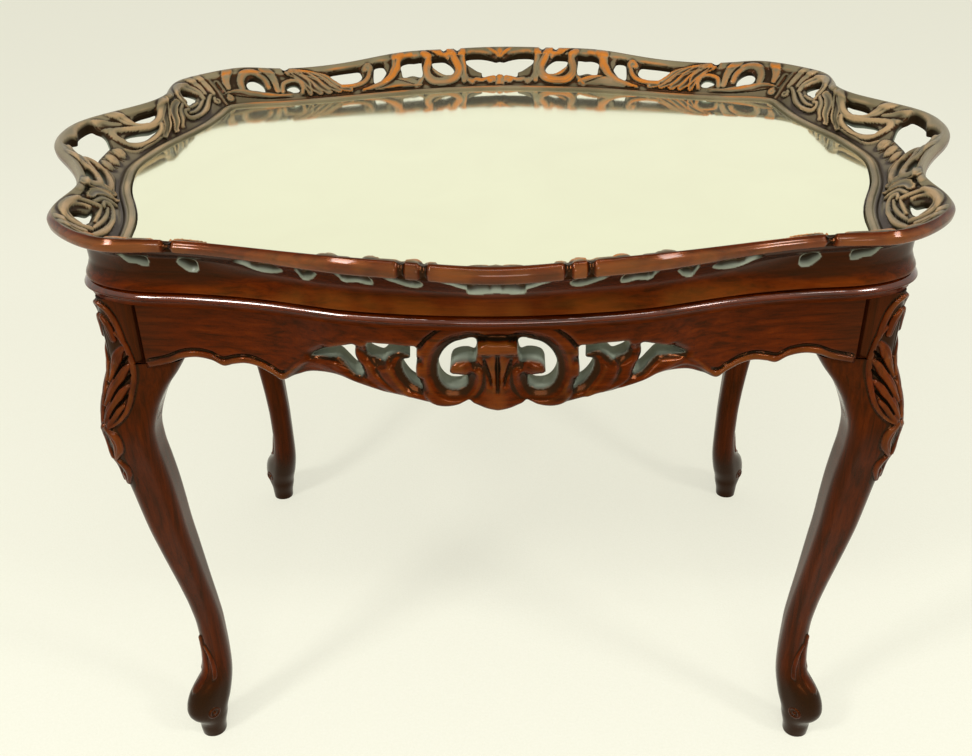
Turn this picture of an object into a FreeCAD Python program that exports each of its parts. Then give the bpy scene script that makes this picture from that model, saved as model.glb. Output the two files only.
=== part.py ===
import FreeCAD, Part
import math
import os
import Sketcher
from FreeCAD import Rotation, Vector

# Tray top tea table: four cabriole legs, shaped aprons and a moulded top frame carry a lift-off
# tray with a flared, pierced gallery and a loose glass plate.
# X runs along the length, -Y is the front, +Z is up, and the origin is on the floor under the centre.

doc = FreeCAD.newDocument("TrayTopTeaTable")
sizes = doc.addObject("Spreadsheet::Sheet", "Sizes")

DIMENSIONS = [
    ("table_length", 780.0, "over the hand rails at the tray's ends"),
    ("table_depth", 599.0, "over the tray's rim"),
    ("rim_top", 544.0, "height of the tray's rim at the hand rails"),
    ("border_top", 510.6, "height of the plain border round the glass"),
    ("border_in", 6.4, "how far the border's inner wall stands inside the reference line"),
    ("ledge_in", 14.0, "how far the panel's ledge stands inside the reference line"),
    ("tray_bottom", 490.5, "underside of the gallery sides"),
    ("rebate_floor", 500.0, "where the panel rests in the gallery sides"),
    ("panel_thick", 4.0, "tray panel"),
    ("panel_gap", 0.6, "round the panel in its rebate"),
    ("glass_thick", 4.0, "glass plate"),
    ("glass_gap", 1.2, "round the glass, so that it lifts out"),
    ("wall_lean", 34.0, "slope of the gallery wall, across which its openings are cut"),
    ("layer_gap", 0.2, "air between pieces that only rest on each other"),
    ("frame_thick", 12.3, "moulded top rails of the base"),
    ("frame_open_x", 268.0, "inner edge of the end rails, from the middle"),
    ("frame_open_y", 179.0, "inner edge of the front and back rails, from the middle"),
    ("apron_thick", 24.0, "front, back and end aprons"),
    ("post_x", 305.0, "outer side face of the leg post"),
    ("post_y", 207.0, "outer front face of the leg post"),
    ("post_width", 32.0, "face of the leg post"),
    ("foot_x", 287.0, "foot centre from the middle"),
    ("foot_y", 194.0, "foot centre from the middle"),
    ("knee_top", 423.0, "top of the knee's wings, under the aprons"),
    ("dowel_radius", 4.0, "apron to post dowels"),
    ("dowel_length", 34.0, "apron to post dowels"),
    ("screw_radius", 2.0, "screw shank"),
    ("screw_head", 4.0, "screw head radius"),
    ("cleat_width", 20.0, "locating cleats under the tray"),
    ("cleat_drop", 18.0, "height of the locating cleats"),
    ("cleat_play", 2.0, "between the cleats and the base's top rails"),
    ("end_cleat_length", 300.0, "end cleats"),
    ("long_cleat_length", 420.0, "front and back cleats"),
    ("bearer_length", 463.0, "cross bearer, between the aprons"),
    ("bearer_width", 44.0, "cross bearer"),
    ("bearer_thick", 16.0, "cross bearer"),
    ("spline_thick", 3.0, "splines in the tray's mitres"),
    ("spline_depth", 10.0, "splines, across the mitre's length"),
    ("spline_length", 18.0, "splines, across the mitre"),
]
for row, (alias, value, note) in enumerate(DIMENSIONS, start=1):
    sizes.set(f"A{row}", note)
    sizes.set(f"B{row}", str(value))
    sizes.setAlias(f"B{row}", alias)
doc.recompute()


def size(alias):
    return float(sizes.get(alias))


# Plan of a quarter of the table, from the middle of the long side (station 0) through the corner
# mitre (station 6) to the middle of the end (station 13): the reference line along the middle of
# the border round the glass and the rim's outer edge, for a table of the length and depth below.
DRAWN_LENGTH, DRAWN_DEPTH = 780.0, 599.0
BEAD = [
    (0, 251), (55, 246), (109, 236), (165, 219), (223, 203), (258, 198), (283, 189),
    (289, 170), (292, 148), (297, 124), (307, 95), (320, 62), (328, 30), (332, 0),
]
RIM = [
    (0, 299.5), (58, 291), (112, 278.5), (168, 254), (232, 236.5), (278, 236), (316, 211),
    (336, 181), (337, 152), (334, 130), (341, 103), (361, 68), (384, 32), (390, 0),
]
# How far the rim lies below its highest point at each station.
RIM_DROP = [1.9, 1.7, 2.1, 6.3, 7.3, 5.5, 5.7, 5, 5, 4.5, 4, 2, 0.5, 0]
# How far the tray's underside reaches from the reference line towards the rim, as a share.
UNDERSIDE = [
    0.305, 0.37, 0.42, 0.51, 0.66, 0.58, 0.615, 0.54, 0.51, 0.47, 0.49, 0.39, 0.27, 0.24,
]
# How far the base's top moulding stands out past the tray's underside.
MOULD_OUT = [1, 1, 1, 1.2, 1.3, 1.5, 2.5, 3, 3, 2.4, 2, 2, 2, 2]
MITRE, END = 6, 13

SCALE_X = size("table_length") / DRAWN_LENGTH
SCALE_Y = size("table_depth") / DRAWN_DEPTH


def station(table, i):
    x, y = table[i]
    return Vector(x * SCALE_X, y * SCALE_Y, 0)


def outward(i):
    """Level direction from the reference line to the rim at a station, and the distance."""
    way = station(RIM, i) - station(BEAD, i)
    return way / way.Length, way.Length


def side_stations(side):
    """Stations of one side, end to end, each with the signs of its quarter."""
    long_half = list(range(0, MITRE + 1))
    end_half = list(range(MITRE, END + 1))
    if side in ("front", "back"):
        sy = -1 if side == "front" else 1
        left = [(i, -1, sy) for i in reversed(long_half[1:])]
        return left + [(i, 1, sy) for i in long_half]
    sx = -1 if side == "left" else 1
    lower = [(i, sx, -1) for i in end_half]
    return lower + [(i, sx, 1) for i in reversed(end_half[:-1])]


def skin(rows):
    """A solid whose long edges run through rows of points, closed by a flat face at each end."""
    edges = []
    for row in rows:
        curve = Part.BSplineCurve()
        curve.interpolate(row)
        edges.append(curve.toShape())
    faces = [
        Part.makeRuledSurface(edges[k], edges[(k + 1) % len(edges)])
        for k in range(len(edges))
    ]
    for end in (0, -1):
        loop = [row[end] for row in rows]
        faces.append(Part.Face(Part.makePolygon(loop + [loop[0]])))
    shell = Part.makeShell(faces)
    shell.sewShape()
    solid = Part.makeSolid(shell)
    if solid.Volume < 0:
        solid.reverse()
    return solid


def sweep_side(side, profile):
    """Skins a side's stations. profile(i) gives the section as (out from the line, height)."""
    sections = []
    for i, sx, sy in side_stations(side):
        base = station(BEAD, i)
        way, _ = outward(i)
        ring = []
        for out, height in profile(i):
            spot = base + way * out
            ring.append(Vector(spot.x * sx, spot.y * sy, height))
        sections.append(ring)
    return skin([list(row) for row in zip(*sections)])


def keep(label, shape):
    """A piece whose shape is worked out here, with its name."""
    piece = doc.addObject("Part::Feature", label)
    piece.Label = label
    piece.Shape = shape
    return piece


parts = []

# ---------------------------------------------------------------- tray gallery


# The dished inner face, as (share of the way from the reference line to the rim, height) for a
# rim that lies DISH_TOP high; a lower or higher rim squeezes the heights above DISH_FOOT.
DISH = [(0.20, 514.0), (0.42, 524.0), (0.64, 532.0)]
DISH_FOOT, DISH_TOP = 514.0, 541.0
ROLL_THICK = 14.0


def rim_height(i):
    return size("rim_top") - RIM_DROP[i]


def dish_height(height, top):
    return DISH_FOOT + (height - DISH_FOOT) * (top - DISH_FOOT) / (DISH_TOP - DISH_FOOT)


def gallery_profile(i):
    """Section of the gallery: flat underside, cove, rolled rim, dished inside, border and ledge."""
    _, width = outward(i)
    foot = UNDERSIDE[i] * width
    hollow = max(0.333 * width, foot - 4.0)
    under = size("tray_bottom")
    top = rim_height(i)
    roll = ROLL_THICK - 0.5 * RIM_DROP[i]
    border = size("border_top")
    wall = size("border_in")
    ledge = size("ledge_in")
    floor = size("rebate_floor")
    low, middle, high = [(share * width, dish_height(h, top)) for share, h in DISH]
    return [
        (-ledge, under),
        (foot, under),
        (foot + 0.3, under + 2),
        (min(0.5 * (foot + hollow), foot + 0.5), under + 7.5),
        (hollow, under + 15),
        (max(middle[0] + 4.3, hollow), middle[1] - 6.2),
        (high[0] + 4.3, high[1] - 6.5),
        (0.843 * width, top - roll + 1),
        (width - 5.0, top - roll),
        (width - 1.2, top - 0.86 * roll),
        (width, top - 0.57 * roll),
        (width - 0.8, top - 0.25 * roll),
        (width - 4.5, top - 0.3),
        (0.845 * width, top),
        (0.765 * width, top - 2.6),
        high,
        middle,
        (max(low[0], 8.5), low[1]),
        (7.4, border + 1.2),
        (6.2, border + 1.3),
        (5.2, border - 0.2),
        (1.4 - wall, border),
        (0.4 - wall, border - 0.5),
        (-wall, floor),
        (-ledge, floor),
    ]


# Points of each opening as (station, share of the way from the reference line to the rim). A
# quarter's openings repeat in all four quarters; those at the middle of a side are listed whole.
LONG_PIERCINGS = [
    [
        (0.90, 0.39), (0.97, 0.34), (1.08, 0.35), (1.18, 0.41), (1.29, 0.49), (1.33, 0.60),
        (1.33, 0.71), (1.20, 0.74), (1.08, 0.72), (0.97, 0.60), (0.90, 0.49),
    ],
    [
        (1.53, 0.34), (1.53, 0.60), (1.54, 0.76), (1.68, 0.75), (1.81, 0.77), (1.93, 0.71),
        (1.96, 0.60), (1.93, 0.49), (1.90, 0.35), (1.72, 0.37),
    ],
    [
        (2.22, 0.50), (2.26, 0.63), (2.29, 0.73), (2.38, 0.77), (2.46, 0.74), (2.48, 0.60),
        (2.48, 0.41), (2.44, 0.30), (2.36, 0.31), (2.28, 0.39),
    ],
    [
        (2.69, 0.46), (2.71, 0.60), (2.77, 0.72), (2.93, 0.74), (3.13, 0.74), (3.29, 0.71),
        (3.27, 0.60), (3.22, 0.50), (3.14, 0.41), (3.03, 0.35), (2.88, 0.34), (2.75, 0.38),
    ],
    [
        (3.81, 0.26), (3.80, 0.39), (3.86, 0.48), (3.94, 0.49), (4.02, 0.44), (4.05, 0.36),
        (3.97, 0.30), (3.91, 0.25),
    ],
    [
        (4.60, 0.33), (4.61, 0.47), (4.70, 0.58), (4.82, 0.65), (4.95, 0.63), (5.05, 0.54),
        (5.08, 0.42), (5.00, 0.35), (4.82, 0.34), (4.67, 0.30),
    ],
]
HEART = [
    (0.00, 0.67), (0.07, 0.64), (0.16, 0.69), (0.26, 0.74), (0.39, 0.78), (0.56, 0.79),
    (0.66, 0.74), (0.66, 0.63), (0.63, 0.55), (0.55, 0.47), (0.44, 0.39), (0.35, 0.35),
    (0.34, 0.29), (0.21, 0.28), (0.11, 0.30), (0.00, 0.30),
]
END_PIERCINGS = [
    [
        (11.66, 0.39), (11.43, 0.42), (11.12, 0.39), (10.76, 0.35), (10.48, 0.34), (10.65, 0.27),
        (10.92, 0.26), (11.26, 0.28), (11.58, 0.32),
    ],
    [
        (10.98, 0.60), (10.79, 0.65), (10.43, 0.65), (10.18, 0.63), (10.29, 0.55), (10.51, 0.50),
        (10.76, 0.49), (10.92, 0.52),
    ],
    [
        (8.29, 0.50), (7.95, 0.55), (7.83, 0.62), (7.63, 0.69), (7.43, 0.69), (7.22, 0.60),
        (7.06, 0.49), (7.31, 0.46), (7.55, 0.42), (7.75, 0.44), (8.03, 0.46),
    ],
]
HANDHOLD = [
    (13.00, 0.72), (12.75, 0.79), (12.38, 0.82), (12.03, 0.83), (12.03, 0.70), (11.97, 0.62),
    (12.03, 0.54), (12.19, 0.46), (12.38, 0.38), (12.56, 0.37), (13.00, 0.36),
]


def between(table, tau):
    """Point at a fractional station, on a smooth line through the table's points."""
    i = min(int(tau), END - 1)
    u = tau - i
    p1, p2 = station(table, i), station(table, i + 1)
    p0 = station(table, i - 1) if i > 0 else Vector(-p2.x, p2.y, 0)
    p3 = station(table, i + 2) if i + 2 <= END else Vector(p1.x, -p1.y, 0)
    return (
        p1 * 2 + (p2 - p0) * u + (p0 * 2 - p1 * 5 + p2 * 4 - p3) * u ** 2
        + (p1 * 3 - p0 - p2 * 3 + p3) * u ** 3
    ) * 0.5


def dish_point(tau, share, sx=1, sy=1):
    """Point on the dished inner face, at a fractional station and a share of the way outwards."""
    inner, outer = between(BEAD, tau), between(RIM, tau)
    spot = inner + (outer - inner) * share
    i = min(int(tau), END - 1)
    top = rim_height(i) + (rim_height(i + 1) - rim_height(i)) * (tau - i)
    rungs = [(0.0, size("border_top"))] + [(s, dish_height(h, top)) for s, h in DISH]
    rungs += [(0.765, top - 2.6), (0.93, top)]
    for (s0, h0), (s1, h1) in zip(rungs, rungs[1:]):
        if share <= s1 or s1 == rungs[-1][0]:
            height = h0 + (h1 - h0) * (share - s0) / (s1 - s0)
            break
    return Vector(spot.x * sx, spot.y * sy, height)


def cutter(loop, way):
    """A straight cutter square to the sloping wall, through a closed loop of points on it."""
    lean = math.radians(size("wall_lean"))
    into = way * math.sin(lean) - Vector(0, 0, math.cos(lean))
    centre = Vector(0, 0, 0)
    for p in loop:
        centre += p / len(loop)
    ring = [p - into * ((p - centre).dot(into) + 16.0) for p in loop]
    face = Part.Face(Part.makePolygon(ring + [ring[0]]))
    return face.extrude(into * 42.0)


def across_wall(tau, sx, sy):
    """Level outward direction at a fractional station of one quarter."""
    way = between(RIM, tau) - between(BEAD, tau)
    way = way / way.Length
    return Vector(way.x * sx, way.y * sy, 0)


def mean_station(loop):
    return sum(tau for tau, _ in loop) / len(loop)


def piercings(side):
    cutters = []
    if side in ("front", "back"):
        sy = -1 if side == "front" else 1
        for sx in (-1, 1):
            for loop in LONG_PIERCINGS:
                points = [dish_point(a, b, sx, sy) for a, b in loop]
                cutters.append(cutter(points, across_wall(mean_station(loop), sx, sy)))
        right = [dish_point(a, b, 1, sy) for a, b in HEART]
        left = [dish_point(a, b, -1, sy) for a, b in reversed(HEART[1:-1])]
        cutters.append(cutter(right + left, Vector(0, sy, 0)))
        return cutters
    sx = -1 if side == "left" else 1
    for sy in (-1, 1):
        for loop in END_PIERCINGS:
            points = [dish_point(a, b, sx, sy) for a, b in loop]
            cutters.append(cutter(points, across_wall(mean_station(loop), sx, sy)))
    one_half = [dish_point(a, b, sx, 1) for a, b in HANDHOLD]
    other_half = [dish_point(a, b, sx, -1) for a, b in reversed(HANDHOLD[1:-1])]
    cutters.append(cutter(one_half + other_half, Vector(sx, 0, 0)))
    return cutters


def mitre_spline(sx, sy):
    """A flat spline let into the two mitred ends under the corner of the gallery."""
    way, _ = outward(MITRE)
    start = station(BEAD, MITRE) + way * 3.0
    length, depth = size("spline_length"), size("spline_depth")
    box = Part.makeBox(depth, length, size("spline_thick"), Vector(0, -length / 2, 0))
    box.Placement = FreeCAD.Placement(
        Vector(start.x * sx, start.y * sy, size("tray_bottom") + 3.5),
        Rotation(Vector(1, 0, 0), Vector(way.x * sx, way.y * sy, 0)),
    )
    return box


CORNERS = [(-1, -1), (1, -1), (-1, 1), (1, 1)]
splines = [mitre_spline(sx, sy) for sx, sy in CORNERS]
for side in ("front", "back", "left", "right"):
    shape = sweep_side(side, gallery_profile)
    shape = shape.cut(piercings(side) + splines)
    parts.append(keep(f"gallery_{side}", shape))
parts.append(keep("mitre_splines", Part.makeCompound(splines)))

# ---------------------------------------------------------------- tray panel, glass and cleats


def border_loop(inset, height):
    """The closed reference line, moved inwards and set at a height."""
    edges = []
    for side in ("front", "right", "back", "left"):
        row = []
        for i, sx, sy in side_stations(side):
            way, _ = outward(i)
            spot = station(BEAD, i) - way * inset
            row.append(Vector(spot.x * sx, spot.y * sy, height))
        curve = Part.BSplineCurve()
        curve.interpolate(row)
        edges.append(curve.toShape())
    return Part.Wire(Part.__sortEdges__(edges))


def plate(label, inset, height, thick_alias):
    """A flat plate inside the border, as an extrusion of its outline."""
    outline = keep(f"{label}_outline", border_loop(inset, height))
    piece = doc.addObject("Part::Extrusion", f"{label}_blank")
    piece.Base = outline
    piece.DirMode = "Custom"
    piece.Dir = Vector(0, 0, 1)
    piece.Solid = True
    piece.setExpression("LengthFwd", f"Sizes.{thick_alias}")
    return piece


def screw_solid(hole):
    """A countersunk wood screw pointing up from its head, or the hole that it fills."""
    shank, head = size("screw_radius"), size("screw_head")

    def made(length):
        solid = Part.makeCylinder(shank, length).fuse(Part.makeCone(head, shank, head - shank))
        if hole:
            return solid
        return solid.cut(Part.makeBox(2 * head, 0.9, 0.9, Vector(-head, -0.45, 0)))

    return made


def screws(places, hole=False):
    """One screw, or its hole, at each (head position, direction, length)."""
    solids = []
    for head_at, way, length in places:
        solid = screw_solid(hole)(length)
        solid.Placement = FreeCAD.Placement(head_at, Rotation(Vector(0, 0, 1), way))
        solids.append(solid)
    return solids


cleat_x = size("frame_open_x") - size("cleat_play") - size("cleat_width") / 2
cleat_y = size("frame_open_y") - size("cleat_play") - size("cleat_width") / 2
END_CLEAT_SCREWS = [(0, -110), (0, 0), (0, 110)]
LONG_CLEAT_SCREWS = [(-150, 0), (0, 0), (150, 0)]
panel_top = size("rebate_floor") + size("panel_thick")
DOWN = Vector(0, 0, -1)
cleat_screws = []
for sign in (-1, 1):
    for a, b in END_CLEAT_SCREWS:
        cleat_screws.append((Vector(sign * cleat_x + a, b, panel_top), DOWN, 16.0))
    for a, b in LONG_CLEAT_SCREWS:
        cleat_screws.append((Vector(a, sign * cleat_y + b, panel_top), DOWN, 16.0))

panel = doc.addObject("Part::Cut", "tray_panel")
panel.Label = "tray_panel"
panel_inset = size("border_in") + size("panel_gap")
panel.Base = plate("tray_panel", panel_inset, size("rebate_floor"), "panel_thick")
panel.Tool = keep("cleat_screw_holes", Part.makeCompound(screws(cleat_screws, hole=True)))
parts.append(panel)
glass_inset = size("border_in") + size("glass_gap")
glass = plate("glass", glass_inset, panel_top + size("layer_gap"), "glass_thick")
glass.Label = "glass_insert"
parts.append(glass)
parts.append(keep("cleat_screws", Part.makeCompound(screws(cleat_screws))))


def rectangle(sketch, length_alias, width_alias):
    """A rectangle about the sketch's origin, its sides bound to two cells."""
    half = 10.0
    spots = [(-half, -half), (half, -half), (half, half), (-half, half)]
    for k in range(4):
        sketch.addGeometry(Part.LineSegment(Vector(*spots[k], 0), Vector(*spots[(k + 1) % 4], 0)))
    for k in range(4):
        sketch.addConstraint(Sketcher.Constraint("Coincident", k, 2, (k + 1) % 4, 1))
        sketch.addConstraint(Sketcher.Constraint("Vertical" if k % 2 else "Horizontal", k))
    sketch.addConstraint(Sketcher.Constraint("Symmetric", 0, 1, 1, 2, -1, 1))
    along = sketch.addConstraint(Sketcher.Constraint("DistanceX", 0, 1, 0, 2, 2 * half))
    across = sketch.addConstraint(Sketcher.Constraint("DistanceY", 1, 1, 1, 2, 2 * half))
    sketch.setExpression(f"Constraints[{along}]", f"Sizes.{length_alias}")
    sketch.setExpression(f"Constraints[{across}]", f"Sizes.{width_alias}")


def flat_sketch(body, name):
    sketch = body.newObject("Sketcher::SketchObject", name)
    plane = [f for f in body.Origin.OriginFeatures if f.Role == "XY_Plane"][0]
    sketch.AttachmentSupport = [(plane, "")]
    sketch.MapMode = "FlatFace"
    return sketch


def low_edges(shape, circles):
    """Names of the straight or the round edges round a solid's underside."""
    low = shape.BoundBox.ZMin + 0.01
    return [
        f"Edge{n}"
        for n, edge in enumerate(shape.Edges, start=1)
        if edge.BoundBox.ZMax < low and (edge.Curve.TypeId == "Part::GeomCircle") == circles
    ]


def board(label, length, width, thick, centre, holes, sunk=False):
    """A planed board as a body: padded up from its underside, edges eased, bored for screws.
    length runs along X and width along Y, as names of cells; centre is its underside's."""
    body = doc.addObject("PartDesign::Body", label)
    body.Label = label
    outline = flat_sketch(body, f"{label}_outline")
    rectangle(outline, length, width)
    pad = body.newObject("PartDesign::Pad", f"{label}_pad")
    pad.Profile = outline
    pad.setExpression("Length", f"Sizes.{thick}")
    doc.recompute()
    eased = body.newObject("PartDesign::Chamfer", f"{label}_eased")
    eased.Base = (pad, low_edges(pad.Shape, circles=False))
    eased.Size = 1.5
    doc.recompute()
    bores = flat_sketch(body, f"{label}_bores")
    for k, (x, y) in enumerate(holes):
        bores.addGeometry(Part.Circle(Vector(x, y, 0), Vector(0, 0, 1), 2.0))
        bores.addConstraint(Sketcher.Constraint("Radius", k, 2.0))
        bores.setExpression(f"Constraints[{k}]", "Sizes.screw_radius")
    pocket = body.newObject("PartDesign::Pocket", f"{label}_bored")
    pocket.Profile = bores
    pocket.Type = "ThroughAll"
    pocket.Reversed = True
    body.Tip = pocket
    doc.recompute()
    if sunk:
        sink = body.newObject("PartDesign::Chamfer", f"{label}_countersunk")
        sink.Base = (pocket, low_edges(pocket.Shape, circles=True))
        sink.Size = size("screw_head") - size("screw_radius")
        body.Tip = sink
    body.Placement = FreeCAD.Placement(centre, Rotation())
    return body


CLEAT_UNDER = size("rebate_floor") - size("cleat_drop")
for name, sx in (("left", -1), ("right", 1)):
    place = Vector(sx * cleat_x, 0, CLEAT_UNDER)
    parts.append(board(f"tray_cleat_{name}", "cleat_width", "end_cleat_length", "cleat_drop", place,
                       END_CLEAT_SCREWS))
for name, sy in (("front", -1), ("back", 1)):
    place = Vector(0, sy * cleat_y, CLEAT_UNDER)
    parts.append(board(f"tray_cleat_{name}", "long_cleat_length", "cleat_width", "cleat_drop", place,
                       LONG_CLEAT_SCREWS))

# ---------------------------------------------------------------- base frame

FRAME_TOP = size("tray_bottom") - size("layer_gap")
FRAME_UNDER = FRAME_TOP - size("frame_thick")


def frame_profile(side):
    """Section of a top rail: flat bed with a straight inner edge, rounded nose, small cove below."""
    lengthwise = side in ("front", "back")

    def profile(i):
        way, width = outward(i)
        base = station(BEAD, i)
        nose = UNDERSIDE[i] * width + MOULD_OUT[i]
        if lengthwise:
            inner = (size("frame_open_y") - base.y) / way.y
        else:
            inner = (size("frame_open_x") - base.x) / way.x
        top, under = FRAME_TOP, FRAME_UNDER
        return [
            (inner, under),
            (nose - 4.6, under),
            (nose - 4.9, under + 1.2),
            (nose - 4.7, under + 3.6),
            (nose - 3.6, under + 5.0),
            (nose - 1.6, under + 6.2),
            (nose - 0.3, under + 8.4),
            (nose, under + 10.4),
            (nose - 0.6, under + 11.8),
            (nose - 1.6, top),
            (inner, top),
        ]

    return profile


# Screws down through the rails into the posts, one either side of each mitre, and up through the
# cross bearer into the front and back rails.
FRAME_SCREWS = [(283.0, 201.0), (298.0, 184.0)]
BEARER_SCREWS = [(-13, -205), (13, -205), (-13, 205), (13, 205)]
bearer_low = FRAME_UNDER - size("bearer_thick")
frame_screws = [
    (Vector(sx * x, sy * y, FRAME_TOP), DOWN, 46.0) for sx, sy in CORNERS for x, y in FRAME_SCREWS
]
bearer_screws = [(Vector(x, y, bearer_low), Vector(0, 0, 1), 24.0) for x, y in BEARER_SCREWS]
frame_holes = screws(frame_screws, hole=True)
rail_holes = frame_holes + screws(bearer_screws, hole=True)
for side in ("front", "back", "left", "right"):
    shape = sweep_side(side, frame_profile(side)).cut(rail_holes)
    parts.append(keep(f"frame_rail_{side}", shape))
parts.append(keep("frame_screws", Part.makeCompound(screws(frame_screws))))
parts.append(board("cross_bearer", "bearer_width", "bearer_length", "bearer_thick",
                   Vector(0, 0, bearer_low), BEARER_SCREWS, sunk=True))
parts.append(keep("bearer_screws", Part.makeCompound(screws(bearer_screws))))

# ---------------------------------------------------------------- legs

# Height, how far the section's centre has moved outwards along the diagonal from the foot's
# centre, and half the section's width.
LEG_SECTIONS = [
    (0, -3.0, 11.5), (8, -3.0, 12.2), (24, -5.0, 14.0), (44, -11.0, 14.5), (64, -16.5, 14.0),
    (84, -19.5, 13.0), (103, -20.5, 12.3), (129, -20.0, 12.2), (155, -17.4, 12.4), (181, -13.5, 12.9),
    (207, -9.1, 13.5), (233, -4.6, 14.0), (257, 0.0, 14.6), (281, 4.2, 15.4), (303, 8.0, 16.5),
    (325, 11.0, 17.8), (346, 12.2, 19.3), (365, 10.6, 21.2), (382, 5.5, 23.6), (400, -5.0, 26.8),
    (416, -16.5, 30.2),
]
ROOT_HALF = math.sqrt(0.5)


def rounded_square(cx, cy, half, height, rounding=0.55):
    r = half * rounding
    arcs = []
    points = []
    for k in range(4):
        a = math.radians(45 + 90 * k)
        sx, sy = (1 if math.cos(a) > 0 else -1), (1 if math.sin(a) > 0 else -1)
        mx, my = cx + sx * (half - r), cy + sy * (half - r)
        a0 = a - math.pi / 4
        arc = [
            Vector(mx + r * math.cos(a0 + t), my + r * math.sin(a0 + t), height)
            for t in (0, math.pi / 4, math.pi / 2)
        ]
        arcs.append(Part.Arc(*arc).toShape())
        points.append((arc[0], arc[2]))
    edges = []
    for k in range(4):
        edges.append(arcs[k])
        edges.append(Part.makeLine(points[k][1], points[(k + 1) % 4][0]))
    return Part.Wire(edges)


def leg_shape():
    """The back right leg: cabriole shaft, knee wings, post and scroll toe."""
    fx, fy = size("foot_x"), size("foot_y")
    wires = []
    for height, out, half in LEG_SECTIONS:
        shift = out * ROOT_HALF
        wires.append(rounded_square(fx + shift, fy + shift, half, height))
    shaft = Part.makeLoft(wires, True, False)
    px, py, face = size("post_x"), size("post_y"), size("post_width")
    last = LEG_SECTIONS[-1][0]
    wing = 2 * LEG_SECTIONS[-1][2]
    top_of_knee = size("knee_top")
    knee = Part.makeBox(wing, wing, top_of_knee - last + 4, Vector(px - wing, py - wing, last - 4))
    inner_edge = [e for e in knee.Edges if abs(e.BoundBox.XMax - (px - wing)) < 0.01
                  and abs(e.BoundBox.YMax - (py - wing)) < 0.01 and e.BoundBox.ZLength > 1]
    knee = knee.makeChamfer(wing * 0.55, inner_edge)
    post = Part.makeBox(face, face, FRAME_UNDER - last, Vector(px - face, py - face, last))
    outer_edge = [e for e in post.Edges if abs(e.BoundBox.XMin - px) < 0.01
                  and abs(e.BoundBox.YMin - py) < 0.01 and e.BoundBox.ZLength > 1]
    outer_knee = [e for e in knee.Edges if abs(e.BoundBox.XMin - px) < 0.01
                  and abs(e.BoundBox.YMin - py) < 0.01 and e.BoundBox.ZLength > 1]
    post = post.makeFillet(10.0, outer_edge)
    knee = knee.makeFillet(10.0, outer_knee)
    toe = Part.makeCylinder(16.5, 31.0, Vector(0, 0, -15.5), Vector(0, 0, 1))
    toe.Placement = FreeCAD.Placement(
        Vector(fx + 0.8 * ROOT_HALF, fy + 0.8 * ROOT_HALF, 45.0),
        Rotation(Vector(0, 0, 1), Vector(1, -1, 0)),
    )
    return shaft.fuse([knee, post, toe]).removeSplitter()


def mirrored(shape, sx, sy):
    if sx < 0:
        shape = shape.mirror(Vector(0, 0, 0), Vector(1, 0, 0))
    if sy < 0:
        shape = shape.mirror(Vector(0, 0, 0), Vector(0, 1, 0))
    return shape


def dowel_holes():
    """Dowels of the back right corner: two into the long apron, two into the end apron."""
    px, py, face = size("post_x"), size("post_y"), size("post_width")
    radius, length = size("dowel_radius"), size("dowel_length")
    middle = size("apron_thick") / 2
    made = []
    for height in (434.0, 458.0):
        start = Vector(px - face - length / 2, py - middle - 1.5, height)
        made.append(Part.makeCylinder(radius, length, start, Vector(1, 0, 0)))
    for height in (446.0, 470.0):
        start = Vector(px - middle - 1.5, py - face - length / 2, height)
        made.append(Part.makeCylinder(radius, length, start, Vector(0, 1, 0)))
    return made


# Block screws of the back right corner: where each head sits, its direction and its length.
BLOCK_IN = 46.0
BLOCK_SCREWS = [
    (Vector(258.0, 160.0, 452.0), Vector(1, 1, 0), 52.0),
    (Vector(246.0, 165.5, 440.0), Vector(0, 1, 0), 32.0),
    (Vector(263.5, 148.0, 440.0), Vector(1, 0, 0), 32.0),
]

leg = leg_shape()
dowels = [mirrored(d, sx, sy) for sx, sy in CORNERS for d in dowel_holes()]
block_screws = [
    (Vector(sx * p.x, sy * p.y, p.z), Vector(sx * w.x, sy * w.y, w.z), n)
    for sx, sy in CORNERS for p, w, n in BLOCK_SCREWS
]
block_holes = screws(block_screws, hole=True)
LEG_NAMES = {(-1, -1): "front_left", (1, -1): "front_right", (-1, 1): "back_left", (1, 1): "back_right"}
legs = {}
for corner in CORNERS:
    shape = mirrored(leg, *corner).cut(dowels + block_holes + frame_holes)
    legs[corner] = shape
    parts.append(keep(f"leg_{LEG_NAMES[corner]}", shape))

# ---------------------------------------------------------------- aprons

# Outer face in plan, from the middle outwards.
LONG_FACE = [(0, 256), (56, 254), (112, 240), (150, 226), (184, 217.5), (223, 212), (264, 208.5), (290, 207)]
END_FACE = [(341, 0), (338, 31), (331, 65), (319, 98), (309.5, 127), (306, 150), (305, 190)]
# Lower edge, as (distance from the middle, height): the shell, the big scroll, the leaves, a drop
# and a double arch up to the leg.
LONG_EDGE = [
    (0, 409), (10, 410.5), (19, 414.5), (22, 416.5), (30, 412.5), (40, 411), (52, 413), (62, 415),
    (75, 417), (88, 418.5), (106, 423), (124, 427), (142, 425.5), (155, 420), (165, 415.5), (172, 419.5),
    (183, 425), (193, 427), (203, 425.5), (211, 423.5), (220, 428), (232, 430), (244, 428), (256, 423),
    (276, 418),
]
END_EDGE = [
    (0, 413), (12, 414.5), (22, 419), (28, 424), (48, 428.5), (70, 428), (84, 425), (92, 420), (100, 426),
    (115, 430), (132, 430), (146, 427), (158, 422), (178, 418),
]
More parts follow.
